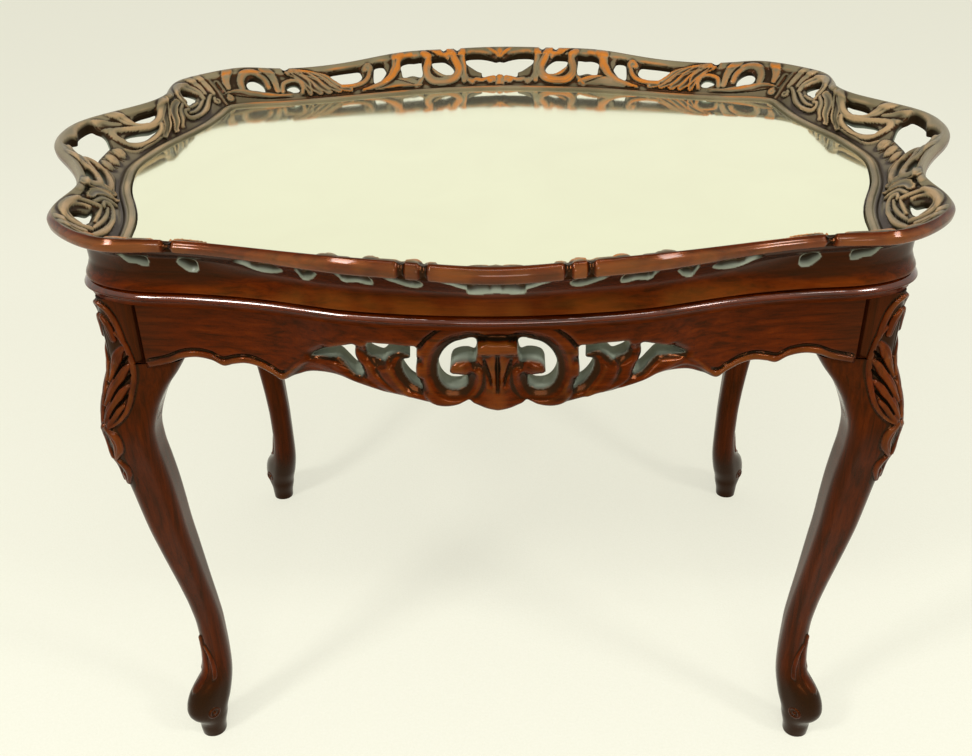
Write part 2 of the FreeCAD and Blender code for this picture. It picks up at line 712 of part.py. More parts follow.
# Openings of the carved centre, right half: the scroll's eye and the gaps between the leaves.
LONG_HOLES = [
    [(15, 465), (26, 464.5), (33, 462), (39, 456.5), (42.7, 449.5), (44, 442), (43.3, 433.5), (40, 427.5),
     (35, 424.2), (28, 424), (23.5, 426.5), (22, 430.5), (22.2, 435), (25, 437.6), (29.5, 438.6),
     (34.7, 439.5), (33, 446.4), (27.4, 449.3), (21.5, 449.6), (16.3, 449)],
    [(59, 459.5), (59.5, 446), (59.5, 436), (56.5, 424.5), (64, 427), (70, 435), (71.5, 442), (70.5, 446),
     (66, 447.5), (65.5, 450), (73.5, 452), (80, 449), (84.5, 444.5), (88, 444.5), (95.5, 447.5),
     (96.5, 453), (95, 459), (86, 460), (76, 460.5), (66, 460.3)],
    [(106, 455.5), (106, 447), (103, 438), (101.5, 430), (107, 430), (113, 436), (119, 441), (128, 440.5),
     (140, 440.5), (130, 448), (118, 453)],
]


def face_band(points, across, flip):
    """A thick upright band behind a curved face, mirrored about the middle."""
    thick = size("apron_thick")
    outer, inner = [], []
    for sign in (-1, 1):
        run = points[::-1] if sign < 0 else points[1:]
        for x, y in run:
            along, off = (x * sign, y) if across == "x" else (y * sign, x)
            outer.append((along, off))
            inner.append((along, off - thick))

    def edge(run):
        curve = Part.BSplineCurve()
        low = FRAME_UNDER - 90
        if across == "x":
            curve.interpolate([Vector(a, flip * b, low) for a, b in run])
        else:
            curve.interpolate([Vector(flip * b, a, low) for a, b in run])
        return curve.toShape()

    one, two = edge(outer), edge(inner)
    ends = [Part.makeLine(one.valueAt(one.FirstParameter), two.valueAt(two.FirstParameter)),
            Part.makeLine(one.valueAt(one.LastParameter), two.valueAt(two.LastParameter))]
    face = Part.Face(Part.Wire(Part.__sortEdges__([one, two] + ends)))
    return face.extrude(Vector(0, 0, 120))


def front_view(edge_points, limit, holes, across, flip):
    """The apron as seen square on: straight top and ends, shaped lower edge, openings."""
    right = [p for p in edge_points if p[0] < limit]
    run = [(-a, b) for a, b in right[:0:-1]] + right

    def spot(a, b):
        return Vector(a, 0, b) if across == "x" else Vector(0, a, b)

    low_edge = Part.makePolygon([spot(a, b) for a, b in run])
    first, last = run[0], run[-1]
    loop = [spot(*last), spot(limit, last[1]), spot(limit, FRAME_UNDER), spot(-limit, FRAME_UNDER),
            spot(-limit, first[1]), spot(*first)]
    face = Part.Face(Part.Wire(low_edge.Edges + Part.makePolygon(loop).Edges))
    deep = Vector(0, flip * 420, 0) if across == "x" else Vector(flip * 420, 0, 0)
    solid = face.extrude(deep)
    cuts = []
    for loop in holes:
        for sign in (-1, 1):
            ring = [spot(a * sign, b) for a, b in loop]
            cuts.append(Part.Face(Part.makePolygon(ring + [ring[0]])).extrude(deep))
    return solid.cut(cuts) if cuts else solid


post_in_x = size("post_x") - size("post_width")
post_in_y = size("post_y") - size("post_width")
all_legs = list(legs.values())
aprons = {}
for name, across, flip in (("front", "x", -1), ("back", "x", 1), ("left", "y", -1), ("right", "y", 1)):
    if across == "x":
        band = face_band(LONG_FACE, across, flip)
        view = front_view(LONG_EDGE, post_in_x, LONG_HOLES, across, flip)
    else:
        band = face_band(END_FACE, across, flip)
        view = front_view(END_EDGE, post_in_y, [], across, flip)
    shape = band.common(view).cut(all_legs + dowels + block_holes)
    aprons[name] = shape
    parts.append(keep(f"apron_{name}", shape))
parts.append(keep("apron_dowels", Part.makeCompound(dowels)))

# ---------------------------------------------------------------- corner blocks and glue blocks

BLOCK_LOW, BLOCK_HIGH = 428.0, 474.0


def corner_block():
    """A triangular block in the back right corner, cut to the aprons and the post."""
    x, y = post_in_x + 6, post_in_y + 8
    reach = BLOCK_IN + 14
    ring = [Vector(x, y, BLOCK_LOW), Vector(x - reach, y, BLOCK_LOW), Vector(x - reach, y - 10, BLOCK_LOW),
            Vector(x - 10, y - reach, BLOCK_LOW), Vector(x, y - reach, BLOCK_LOW)]
    face = Part.Face(Part.makePolygon(ring + [ring[0]]))
    return face.extrude(Vector(0, 0, BLOCK_HIGH - BLOCK_LOW))


wood = all_legs + list(aprons.values())
for corner in CORNERS:
    shape = mirrored(corner_block(), *corner).cut(wood + block_holes)
    shape = max(shape.Solids, key=lambda s: s.Volume)
    parts.append(keep(f"corner_block_{LEG_NAMES[corner]}", shape))
parts.append(keep("corner_block_screws", Part.makeCompound(screws(block_screws))))


def glue_block(x, y, turn):
    made = Part.makeBox(40.0, 34.0, 16.0, Vector(-20.0, -17.0, FRAME_UNDER - 16.0))
    made.rotate(Vector(0, 0, 0), Vector(0, 0, 1), turn)
    made.translate(Vector(x, y, 0))
    return made


GLUE_SPOTS = [(95.0, 222.0, 0.0), (185.0, 196.0, 0.0)]
glue_blocks = []
for sx, sy in CORNERS:
    for x, y, turn in GLUE_SPOTS:
        rough = glue_block(sx * x, sy * y, turn)
        cut = rough.cut(wood)
        inside = [s for s in cut.Solids if abs(s.CenterOfMass.y) < y]
        glue_blocks.append(max(inside, key=lambda s: s.Volume))
parts.append(keep("glue_blocks", Part.makeCompound(glue_blocks)))

doc.recompute()

# ---------------------------------------------------------------- checks and files

broken = [o.Label for o in doc.Objects if "Invalid" in o.State or "Error" in o.State]
for piece in parts:
    if piece.Shape.isNull() or not piece.Shape.isValid():
        broken.append(piece.Label)
if broken:
    raise SystemExit(f"these did not build: {broken}")

os.makedirs("parts", exist_ok=True)
for piece in parts:
    piece.Shape.exportStep(f"parts/{piece.Label}.step")
    box = piece.Shape.BoundBox
    print(piece.Label, len(piece.Shape.Solids), round(piece.Shape.Volume / 1000, 1), "cm3",
          [round(v, 1) for v in (box.XMin, box.XMax, box.YMin, box.YMax, box.ZMin, box.ZMax)])
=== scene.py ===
import math

import bpy
import numpy as np
from mathutils import Matrix, Vector


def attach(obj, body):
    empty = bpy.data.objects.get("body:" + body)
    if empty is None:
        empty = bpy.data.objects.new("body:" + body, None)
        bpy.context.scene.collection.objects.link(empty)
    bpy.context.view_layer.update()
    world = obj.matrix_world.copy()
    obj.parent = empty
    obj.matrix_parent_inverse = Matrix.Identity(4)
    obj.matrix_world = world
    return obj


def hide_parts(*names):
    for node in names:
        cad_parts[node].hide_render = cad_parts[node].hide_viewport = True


bl_info = {
    "name": "Tray top tea table",
    "version": (1, 0, 0),
    "blender": (4, 5, 0),
    "location": "3D View > Sidebar > Tea Table",
    "description": "Carved galleries, aprons and legs, wood finishes and studio for a tray top tea table",
    "category": "Object",
}

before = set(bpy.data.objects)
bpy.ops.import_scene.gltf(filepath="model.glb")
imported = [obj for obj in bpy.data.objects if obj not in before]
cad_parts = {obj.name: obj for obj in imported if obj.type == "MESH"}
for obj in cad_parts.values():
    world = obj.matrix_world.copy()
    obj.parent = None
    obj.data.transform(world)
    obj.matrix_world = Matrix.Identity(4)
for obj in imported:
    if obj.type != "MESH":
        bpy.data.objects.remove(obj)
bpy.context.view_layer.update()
MM = 0.001
TINY = 1e-9  # guards divisions, and tells a moved point from one that stayed
FAR_OFF = 50.0  # mm, for points with no opening near them


# ---------------------------------------------------------------- sizes and colours

class TeaTableSizes(bpy.types.PropertyGroup):
    fullness: bpy.props.FloatProperty(
        name="Fullness", description="Width of the carved strands, as a factor",
        default=1.28, min=0.6, max=2.0)
    grid: bpy.props.FloatProperty(
        name="Carving grid", description="Spacing of the carved surface's points, in mm",
        default=0.95, min=0.6, max=4.0)
    relief: bpy.props.FloatProperty(
        name="Relief", description="How strongly the carving stands out of the wood",
        default=1.0, min=0.0, max=2.0, subtype="FACTOR")
    ground: bpy.props.FloatProperty(
        name="Ground", description="How far the background between the leaves is cut back, in mm",
        default=1.6, min=0.0, max=3.0)
    edge_ease: bpy.props.FloatProperty(
        name="Eased edge", description="Rounding of the edge of each opening, in mm",
        default=1.1, min=0.0, max=3.0)


def hex_colour(name, default, description):
    return bpy.props.StringProperty(name=name, description=f"{description}, sRGB hex", default=default)


class TeaTableColours(bpy.types.PropertyGroup):
    wood: hex_colour("Wood", "481600", "Polished mahogany")
    wood_dark: hex_colour("Dark grain", "250A00", "Dark grain of the mahogany")
    wood_light: hex_colour("Light grain", "5A2202", "Light grain of the mahogany")
    waxed: hex_colour("Waxed wood", "646049", "Wood under old wax inside the gallery")
    waxed_light: hex_colour("Waxed wood, light", "7E765C", "The same where the wax is thinner")
    worn: hex_colour("Worn edge", "B06A26", "Rubbed high edges of the long sides")
    # The ends' rubbed colour is greyer than the long sides': wear with painted pale reflection.
    worn_ends_and_sheen: hex_colour("Worn edge, ends", "A58A66", "Rubbed high edges of the ends")
    # Old polish and dust in the hollows, with painted shade: the same colour darkens recesses, the cove under
    # the rim, the plain legs, the apron's ends and the scroll's eye.
    hollow: hex_colour("Hollow", "100F08", "Old polish and dust in the hollows")
    # The pale wall colour is bare sawn wood with painted light; the stained one is painted shade over old
    # polish, on the walls that face down.
    wall: hex_colour("Sawn wall", "A3AD9B", "Unpolished walls of the openings")
    wall_polish_and_shade: hex_colour("Stained wall", "12140C", "Walls black with old polish")
    glass: hex_colour("Glass", "EDF0D2", "Pale silvered glass")
    floor: hex_colour("Floor", "F6F5E4", "Pale floor")


def linear(hex_code):
    """A colour written as sRGB hex, as the linear RGBA that the nodes take."""
    parts = [int(hex_code[k:k + 2], 16) / 255 for k in (0, 2, 4)]
    return tuple(c / 12.92 if c <= 0.04045 else ((c + 0.055) / 1.055) ** 2.4 for c in parts) + (1.0,)


# ---------------------------------------------------------------- plan of the tray

# A quarter of the tray in plan, in mm: station 0 is the middle of a long side, 6 the corner mitre
# and 13 the middle of an end. The line runs along the plain border round the glass.
LINE = [(0, 251), (55, 246), (109, 236), (165, 219), (223, 203), (258, 198), (283, 189),
        (289, 170), (292, 148), (297, 124), (307, 95), (320, 62), (328, 30), (332, 0)]
RIM = [(0, 299.5), (58, 291), (112, 278.5), (168, 254), (232, 236.5), (278, 236), (316, 211),
       (336, 181), (337, 152), (334, 130), (341, 103), (361, 68), (384, 32), (390, 0)]
RIM_DROP = [1.9, 1.7, 2.1, 6.3, 7.3, 5.5, 5.7, 5, 5, 4.5, 4, 2, 0.5, 0]
UNDERSIDE = [0.305, 0.37, 0.42, 0.51, 0.66, 0.58, 0.615, 0.54, 0.51, 0.47, 0.49, 0.39, 0.27, 0.24]
RIM_TOP, BORDER, WALL_IN, LEDGE_IN, FLOOR, UNDER = 544.0, 510.6, 6.4, 14.0, 500.0, 490.5
MITRE, END, AROUND = 6, 13, 52
# How far up the carving's face starts and ends, measured along it in mm.
FACE_FOOT, FACE_TOP = 0.6, 68.5
# The dished wall's foot, its rise where the rim is highest, and the rim's soft limit.
DISH, DISH_RISE, SOFT_TOP = 514.0, 27.0, 0.8
# Just inside the CAD's box, as (x, y); and how high the old wax reaches.
HALF_SIZE, WAX_TOP = np.array([389.99, 299.48]), 56.0


def run_of(path):
    """How far each point of a path lies along it."""
    return np.concatenate([[0], np.cumsum(np.linalg.norm(np.diff(path, axis=0), axis=1))])


def between(x, zero_at, one_at):
    """0 up to one value of x and 1 from another on, with a straight slope between them."""
    return np.clip((x - zero_at) / (one_at - zero_at), 0, 1)


def all_round(quarter):
    """Spreads a quarter's rows over the whole closed loop: front, right end, back, left end."""
    rows = [np.atleast_1d(np.array(r, float)) for r in quarter]
    flips = [(1, -1), (1, 1), (-1, 1), (-1, -1)]
    order = [range(0, 14), range(12, -1, -1), range(1, 14), range(12, 0, -1)]
    out = []
    for flip, stations in zip(flips, order):
        for i in stations:
            out.append(rows[i] * flip if len(rows[i]) == 2 else rows[i])
    return np.array(out)


def hermite(a, b, ma, mb, u):
    """The cubic from a at u = 0 to b at u = 1 with slopes ma and mb."""
    return (a * (1 + 2 * u) * (1 - u) ** 2 + ma * u * (1 - u) ** 2
            + b * u * u * (3 - 2 * u) + mb * u * u * (u - 1))


def closed_curve(values):
    """A smooth closed curve through values at 0, 1, 2, ..., as a function."""
    count = len(values)
    k = np.arange(count)
    matrix = np.zeros((count, count))
    matrix[k, k] = 4
    matrix[k, (k + 1) % count] = 1
    matrix[k, (k - 1) % count] = 1
    slopes = np.linalg.solve(matrix, 3 * (np.roll(values, -1, 0) - np.roll(values, 1, 0)))

    def at(t):
        t = np.mod(t, count)
        i = np.floor(t).astype(int) % count
        after = (i + 1) % count
        return hermite(values[i], values[after], slopes[i], slopes[after], (t - np.floor(t))[..., None])

    return at


line_at = closed_curve(all_round(LINE))
rim_at = closed_curve(all_round(RIM))
drop_at = closed_curve(all_round(RIM_DROP))
under_at = closed_curve(all_round(UNDERSIDE))

# Lengths along the carving are measured where it runs, a little inside the middle of the wall.
FINE_T = np.linspace(0, AROUND, 100 * AROUND + 1)
ARC = run_of(line_at(FINE_T) + (rim_at(FINE_T) - line_at(FINE_T)) * 0.464)


def t_from_arc(centre, s):
    """Where on the loop a point lies that is s mm of carving away from a centre station."""
    start = np.interp(centre, FINE_T, ARC)
    return np.interp(np.mod(start + s, ARC[-1]), ARC, FINE_T)


def smooth_steps(knots, values, x):
    """Smooth curve through (knot, value) pairs that never overshoots a value."""
    knots = np.asarray(knots, float)
    step = np.diff(knots)
    shape = (-1,) + (1,) * (values.ndim - 1)
    rise = np.diff(values, axis=0) / step.reshape(shape)
    both = rise[:-1] + rise[1:]
    same = np.sign(rise[:-1]) == np.sign(rise[1:])
    mean = 2 * rise[:-1] * rise[1:] / np.where(np.abs(both) < TINY, 1, both)
    slope = np.concatenate([rise[:1], np.where(same, mean, 0), rise[-1:]])
    i = np.clip(np.searchsorted(knots, x) - 1, 0, len(knots) - 2)
    u, h = ((x - knots[i]) / step[i]).reshape(shape), step[i].reshape(shape)
    return hermite(values[i], values[i + 1], slope[i] * h, slope[i + 1] * h, u)


# ---------------------------------------------------------------- carving

def smooth_path(points, spacing=1.2, closed=False):
    """Rows of numbers joined by a smooth line, with points about every spacing mm."""
    p = np.asarray(points, float)
    if closed:
        p = np.vstack([p[-1:], p, p[:2]])
    else:
        p = np.vstack([2 * p[0] - p[1], p, 2 * p[-1] - p[-2]])
    out = []
    for i in range(1, len(p) - 2):
        count = max(2, int(np.linalg.norm((p[i + 1] - p[i])[:2]) / spacing))
        for k in range(count):
            u = k / count
            out.append(0.5 * (2 * p[i] + (p[i + 1] - p[i - 1]) * u
                              + (2 * p[i - 1] - 5 * p[i] + 4 * p[i + 1] - p[i + 2]) * u ** 2
                              + (3 * p[i] - p[i - 1] - 3 * p[i + 1] + p[i + 2]) * u ** 3))
    if not closed:
        out.append(p[-2])
    return np.array(out)


def curl(cx, cy, radius, start, turns):
    """Points of a scroll that winds in from its outside to its eye; start is in degrees."""
    count = max(6, int(abs(turns) * 9))
    out = []
    for k in range(count + 1):
        u = k / count
        r = radius * (1 - 0.7 * u)
        a = math.radians(start) + turns * 2 * math.pi * u
        out.append((cx + r * math.cos(a), cy + r * math.sin(a)))
    return out


def bump(kind, u, side):
    """Height of a cut across its width: u is 0 on its middle and 1 at its edge."""
    if kind == "round":
        return np.sqrt(np.clip(1 - u * u, 0, 1))
    if kind == "ridge":
        return (1 - u) ** 0.85
    if kind == "strap":
        return np.clip((1 - u) * 3.2, 0, 1) ** 0.6
    if kind == "scoop":
        return (0.45 + 0.55 * u ** 2) * np.clip((1 - u) * 7, 0, 1) ** 0.7
    if kind == "tilt":
        return (0.62 + 0.38 * side * u) * np.clip((1 - u) * 4, 0, 1) ** 0.6
    # "swell" and "groove"
    return (1 - u * u) ** 2


def nearest_on(a, b, x, y):
    """The point nearest to x, y on the line from a to b, and how far along it that is, 0 to 1."""
    d = b - a
    u = np.clip(((x - a[0]) * d[0] + (y - a[1]) * d[1]) / max(d @ d, TINY), 0, 1)
    return a[0] + u * d[0], a[1] + u * d[1], u


def carve(cuts, x, y, fullness=1.0):
    """Height of the carving at flat points x, y (mm), from a list of cuts laid one over another.

    Each cut is (kind, height, half widths along it, points); the kind "groove" is cut in."""
    height = np.zeros_like(x)
    for kind, rise, widths, points in cuts:
        path = smooth_path(points)
        run = run_of(path)
        full = 1.0 if kind == "groove" else fullness
        half = np.interp(run / run[-1], np.linspace(0, 1, len(widths)), widths) * full
        reach = max(widths) * full
        near = ((x > path[:, 0].min() - reach) & (x < path[:, 0].max() + reach)
                & (y > path[:, 1].min() - reach) & (y < path[:, 1].max() + reach))
        if not near.any():
            continue
        px, py = x[near], y[near]
        best = np.full(px.shape, FAR_OFF)
        side = np.zeros_like(px)
        for k in range(len(path) - 1):
            d = path[k + 1] - path[k]
            nx, ny, u = nearest_on(path[k], path[k + 1], px, py)
            ox, oy = px - nx, py - ny
            ratio = np.hypot(ox, oy) / (half[k] + u * (half[k + 1] - half[k]))
            closer = ratio < best
            best = np.where(closer, ratio, best)
            side = np.where(closer, np.sign(d[0] * oy - d[1] * ox), side)
        value = bump(kind, np.clip(best, 0, 1), side)
        if kind == "round" and reach > 3.2:
            # Wide strands have a fine vein beside their crest.
            value = value - 0.17 * np.exp(-((side * best + 0.34) / 0.14) ** 2)
        old = height[near]
        new = old - rise * value if kind == "groove" else np.maximum(old, rise * value)
        height[near] = np.where(best < 1, new, old)
    return height


def outline_distance(loop, x, y):
    """Signed distance to a closed outline, negative inside, and the nearest point on it."""
    best = np.full(x.shape, np.inf)
    nx, ny = np.zeros_like(x), np.zeros_like(y)
    inside = np.zeros(x.shape, bool)
    for a, b in zip(loop, np.roll(loop, -1, 0)):
        qx, qy, _ = nearest_on(a, b, x, y)
        far = np.hypot(x - qx, y - qy)
        closer = far < best
        best = np.where(closer, far, best)
        nx, ny = np.where(closer, qx, nx), np.where(closer, qy, ny)
        drop = b[1] - a[1]
        at = a[0] + (y - a[1]) * (b[0] - a[0]) / (drop if abs(drop) > TINY else TINY)
        inside ^= ((a[1] > y) != (b[1] > y)) & (x < at)
    return np.where(inside, -best, best), nx, ny


def soften(field, reach):
    """The field blurred over a few grid steps, for telling crests from hollows."""
    taps = np.exp(-0.5 * (np.arange(-reach * 2, reach * 2 + 1) / reach) ** 2)
    taps /= taps.sum()
    padded = np.pad(field, reach * 2, mode="edge")
    rows = sum(w * padded[k:k + field.shape[0], :] for k, w in enumerate(taps))
    return sum(w * rows[:, k:k + field.shape[1]] for k, w in enumerate(taps))


def both_sides(cuts):
    """Cuts of the right half and their mirror images; a cut across the middle is there once."""
    return cuts + [(kind, rise, widths, [(-a, b) for a, b in points])
                   for kind, rise, widths, points in cuts if points[0][0] != -points[-1][0]]


# Openings and cuts as (mm along the carving from the middle of the side, mm up the inner face).
HEART = [(0, 40), (4, 38.5), (9, 41), (15, 43.5), (22, 45.5), (32, 46), (37.5, 43.5), (37.5, 38),
         (36, 33), (31, 28), (25, 23), (20, 20.5), (19.5, 16.5), (12, 16), (6, 17), (0, 17.5)]
LONG_HOLES = [
    [(51, 23), (55, 20), (61, 20.5), (67, 24), (73, 29), (75, 36), (75, 42), (68, 43.5), (61, 42.5),
     (55, 36), (51, 29)],
    [(86.5, 20), (86.5, 36), (87, 44.5), (95, 44), (102, 45), (109, 42), (110.5, 36), (109, 29),
     (107, 20.5), (97, 21.5)],
    [(126, 30), (128, 38), (130, 43), (135, 45), (140, 43.5), (141, 36), (141, 24), (139, 17),
     (134, 18), (129, 23)],
    [(153.5, 27), (155, 36), (158, 42.5), (168, 43.5), (180, 43.5), (190, 42), (189, 36), (186, 30),
     (181, 24), (174, 20.5), (165, 20), (157, 22.5)],
    [(223, 15), (222.5, 23), (226, 28.5), (231, 29), (235.5, 26), (237, 21), (233, 17), (229, 14)],
    [(259, 19), (259.5, 28), (263, 35), (268, 39), (273, 38), (277, 32), (278, 25), (275, 20.5),
     (268, 19.5), (262, 17.5)],
]
END_HOLES = [
    [(38, 19), (44, 24.5), (52, 25.5), (63, 24), (76, 21.5), (88, 21.5), (80, 17), (70, 15), (58, 14),
     (46, 15.5)],
    [(67, 35), (72, 40), (82, 42.5), (95, 42), (103, 41.5), (97, 35), (90, 31.5), (80, 30), (72, 31)],
    [(152, 29.5), (160, 31.5), (163, 37), (168, 41), (174, 41), (179, 36), (182, 29), (176, 27),
     (170, 25.5), (165, 26.5), (158, 27)],
]
HANDHOLD = [(0, 42.5), (8, 46), (20, 48), (31, 48.4), (32, 41.5), (33, 37), (31, 32), (26, 27),
            (20, 22), (14, 21.5), (0, 21)]

LONG_CUTS = [
    # drop from the rim and the curls under the heart
    ("ridge", 2.6, (8, 4, 1.2), [(0, 53), (0, 47), (0, 40)]),
    ("round", 2.2, (2.0, 1.6, 1.2), [(15, 53), (8, 47), (1, 41)]),
    ("round", 2.8, (4.5, 3.0), [(0, 8), (0, 17)]),
    ("round", 2.4, (2.0, 2.2, 2.4), curl(10.0, 12.5, 4.6, 200, -0.95)),
    ("round", 2.0, (1.8, 2.2, 1.5), [(15, 14), (20, 12), (27, 13), (31, 11)]),
    ("round", 2.2, (3.0, 2.0, 1.2), [(31, 11), (36, 14), (38, 20)]),
    # strut beside the heart
    ("strap", 2.4, (2.6, 3.4, 4.6), [(40, 12), (41, 28), (43, 49)]),
    # big scroll round the eye
    ("round", 3.8, (3.2, 4.2, 4.0, 3.4),
     [(58, 53), (52, 44), (48, 36), (45.5, 27), (47, 19), (55, 13.5), (65, 12), (74, 13.5), (80.5, 20),
      (81.5, 28), (79.5, 36), (79, 42), (84, 47)]),
    ("round", 2.4, (1.8, 2.0, 1.4), [(55, 17.5), (62, 18), (69, 22), (74, 28)]),
    ("strap", 2.2, (3.2, 3.0), [(58, 43), (66, 47.5), (76, 54)]),
    ("groove", 1.6, (1.0, 1.0), [(69, 43.5), (80, 52)]),
    # leaf knob on the rim
    ("round", 1.4, (4.4, 4.6), [(53, 45), (53, 57)]),
    ("groove", 1.8, (1.1, 1.0), [(46.5, 45), (47, 57)]),
    ("groove", 1.8, (1.1, 1.0), [(59, 48), (60, 58)]),
    ("round", 1.6, (3.2, 3.0), [(100, 47.5), (106, 47)]),
    # strand between the second and third openings, sweeping out low
    ("round", 3.6, (6.2, 4.6, 3.6, 3.2, 1.6),
     [(113, 48), (114, 37), (117, 30), (121, 22), (130, 15.5), (140, 12), (152, 9)]),
    ("ridge", 2.6, (3.2, 2.6, 1.0), [(93, 9.5), (89, 14), (83, 21)]),
    ("tilt", 3.0, (3.0, 5.0, 4.0, 1.5), [(90, 11), (104, 14), (118, 13.5), (138, 8.5)]),
    ("groove", 1.2, (0.9, 0.9), [(96, 11), (108, 16), (117, 19)]),
    # strut with a scroll head
    ("round", 3.0, (3.2, 3.0, 2.6, 2.0),
     [(175, 16.5), (163, 16.5), (152, 19.5), (147, 26), (145.5, 34)]),
    ("round", 3.0, (2.8, 2.6, 2.4), curl(148.5, 38.5, 4.6, 215, -0.9)),
    # fan of acanthus leaves
    ("scoop", 3.4, (2.6, 3.8, 3.6, 2.4),
     [(167, 11), (178, 16), (187, 24), (193, 32), (202, 38), (222, 45)]),
    ("scoop", 3.6, (2.6, 3.8, 4.2, 2.6), [(179, 11), (190, 20), (198, 30), (208, 39), (222, 46)]),
    ("scoop", 3.9, (2.6, 4.0, 4.4, 2.8), [(190, 10), (200, 21), (207, 32), (216, 41), (226, 47)]),
    ("scoop", 4.1, (2.6, 4.0, 4.4, 2.8), [(200, 10), (208, 20), (215, 31), (222, 41), (229, 47)]),
    ("scoop", 4.2, (2.4, 3.6, 4.0, 2.6), [(211, 10), (213, 20), (216, 31), (223, 39), (233, 45)]),
    # ring round the small shell
    ("round", 2.8, (2.2, 2.4, 2.2),
     [(219.5, 13), (218.5, 22), (222.5, 31.5), (231, 33.5), (239, 28), (241, 16)]),
    ("strap", 2.6, (3.0, 3.6, 4.8), [(246, 18), (247.5, 30), (250, 41), (256, 49)]),
    ("round", 3.0, (3.0, 3.2, 3.0),
     [(256, 24), (257, 34), (262, 42), (270, 45.5), (278, 42.5), (282.5, 34), (284, 21)]),
    ("ridge", 3.0, (1.4, 3.0, 3.4, 1.2),
     [(230, 12), (242, 11.5), (258, 13.5), (275, 17), (290, 21), (302, 20)]),
    ("groove", 1.3, (1.0, 1.0), [(235, 9.5), (255, 8.5), (275, 10.5), (300, 17)]),
    ("strap", 2.4, (4.0, 3.2, 2.4), [(291, 49), (296, 38), (298, 26)]),
    ("groove", 2.4, (2.2, 2.4, 1.8), [(305.5, 22), (306, 30), (305.5, 38)]),
    ("round", 2.4, (1.8, 2.0, 1.6), curl(302.5, 12.5, 3.8, 100, 1.0)),
]
# Notches across the rim, as (mm from the middle, half width, depth).
LONG_NOTCHES = [(46.5, 4.0, 2.6), (61.5, 3.6, 2.6), (235.0, 4.5, 3.0)]
END_CUTS = [
    ("round", 3.2, (5.2, 4.6), [(-1, 14.5), (1, 14.5)]),
    ("round", 1.8, (1.4, 1.2), curl(0.0, 14.5, 5.6, 180, -0.8)),
    ("round", 3.2, (4.8, 4.2), [(16, 15), (19, 15)]),
    ("groove", 1.4, (0.8, 0.8), [(9.5, 9.5), (8.5, 15), (9.5, 20)]),
    ("groove", 0.9, (0.7, 0.7), [(14, 11), (13, 15), (14, 19)]),
    ("round", 3.4, (3.0, 3.6, 3.6, 3.0),
     [(47, 33), (40, 33.5), (35, 30), (34, 24), (38, 17.5), (47, 12.5), (60, 10.5), (75, 12), (85, 16),
      (92, 23)]),
    ("ridge", 2.0, (1.3, 1.7, 1.3), [(28, 15), (35, 10), (50, 7.8), (68, 7.6), (86, 10.5)]),
    ("groove", 1.2, (0.8, 0.8), [(30, 16), (38, 11.2), (50, 9.2), (68, 9.2), (84, 12)]),
    ("round", 3.4, (3.0, 4.0, 4.6, 5.4),
     [(44, 32.5), (53, 31), (63, 28), (74, 25.5), (86, 25.8), (96, 29.5), (106, 38), (119, 47)]),
    ("groove", 1.4, (0.9, 0.9), [(44, 39), (52, 34.5), (62, 31), (70, 28)]),
    ("tilt", 2.4, (3.0, 4.2, 3.0), [(35, 46), (42, 41), (52, 37.5)]),
    ("round", 2.0, (2.4, 2.0), [(34, 37), (41, 36.5)]),
    ("round", 3.6, (5.4, 5.4, 4.4, 2.6), [(56, 50), (60, 43), (63, 36), (68, 30.5), (78, 27.5)]),
    ("scoop", 3.6, (2.6, 4.4, 5.0, 3.6), [(85, 9), (96, 17), (104, 28), (114, 40), (124, 49)]),
    ("groove", 1.2, (0.8, 0.8), [(92, 11), (101, 20), (109, 31), (119, 43)]),
    ("scoop", 3.8, (2.4, 4.2, 5.0, 3.6), [(103, 9), (111, 19), (118, 30), (127, 37), (137, 39)]),
    ("round", 2.8, (2.2, 3.4, 2.4), [(116, 11), (122, 19), (129, 28), (141, 33)]),
    ("round", 2.2, (3.2, 3.0), [(124, 20), (127, 24)]),
    ("round", 1.8, (3.6, 3.6), [(133, 50), (138, 50)]),
    ("groove", 1.6, (1.0, 1.0), [(126, 45), (138, 44), (150, 45.5)]),
    ("round", 3.2, (2.4, 3.2, 3.2, 3.0),
     [(144, 27), (147, 36), (153, 44), (164, 48), (176, 47), (185, 41), (188.5, 32), (185, 23)]),
    ("round", 2.6, (1.8, 2.2, 2.0), [(153, 33), (155.5, 39), (162, 44), (172, 45), (181, 39), (184.5, 31)]),
    ("round", 3.0, (2.2, 3.0, 3.2, 2.0),
     [(141, 24), (134, 25), (130.5, 20), (134, 15), (144, 12.5), (158, 11.5), (174, 13), (188, 17.5),
      (199, 22)]),
    ("round", 2.4, (1.8, 2.4, 1.6), [(139, 20), (150, 18), (165, 18.5), (181, 21)]),
    ("round", 2.2, (1.6, 2.0, 1.4), [(145, 25), (155, 23.5), (168, 22.5)]),
    ("groove", 1.3, (0.9, 0.9), [(140, 10), (155, 8.8), (172, 9.6), (190, 14), (200, 18.5)]),
    ("round", 2.4, (1.8, 2.0, 1.6), curl(202.0, 13.5, 4.4, 100, 1.0)),
    ("strap", 2.4, (4.0, 3.2, 2.6), [(193, 50), (196, 38), (194, 27)]),
    ("strap", 2.4, (3.4, 3.0, 2.4), [(203, 50), (205, 36), (204, 23)]),
    ("round", 1.8, (2.4, 2.4), [(199, 48), (203, 49)]),
]


# ---------------------------------------------------------------- mesh making

DOUBLED = 0.00002  # points closer than this, in metres, are one
WALL_STEPS = 4  # faces through the wood, in the wall of an opening


def store_fields(mesh, fields):
    """Stores float values on a mesh's points, under the names that the materials read."""
    for key, values in fields.items():
        layer = mesh.attributes.new(key, "FLOAT", "POINT")
        layer.data.foreach_set("value", np.full(len(mesh.vertices), values, np.float32))


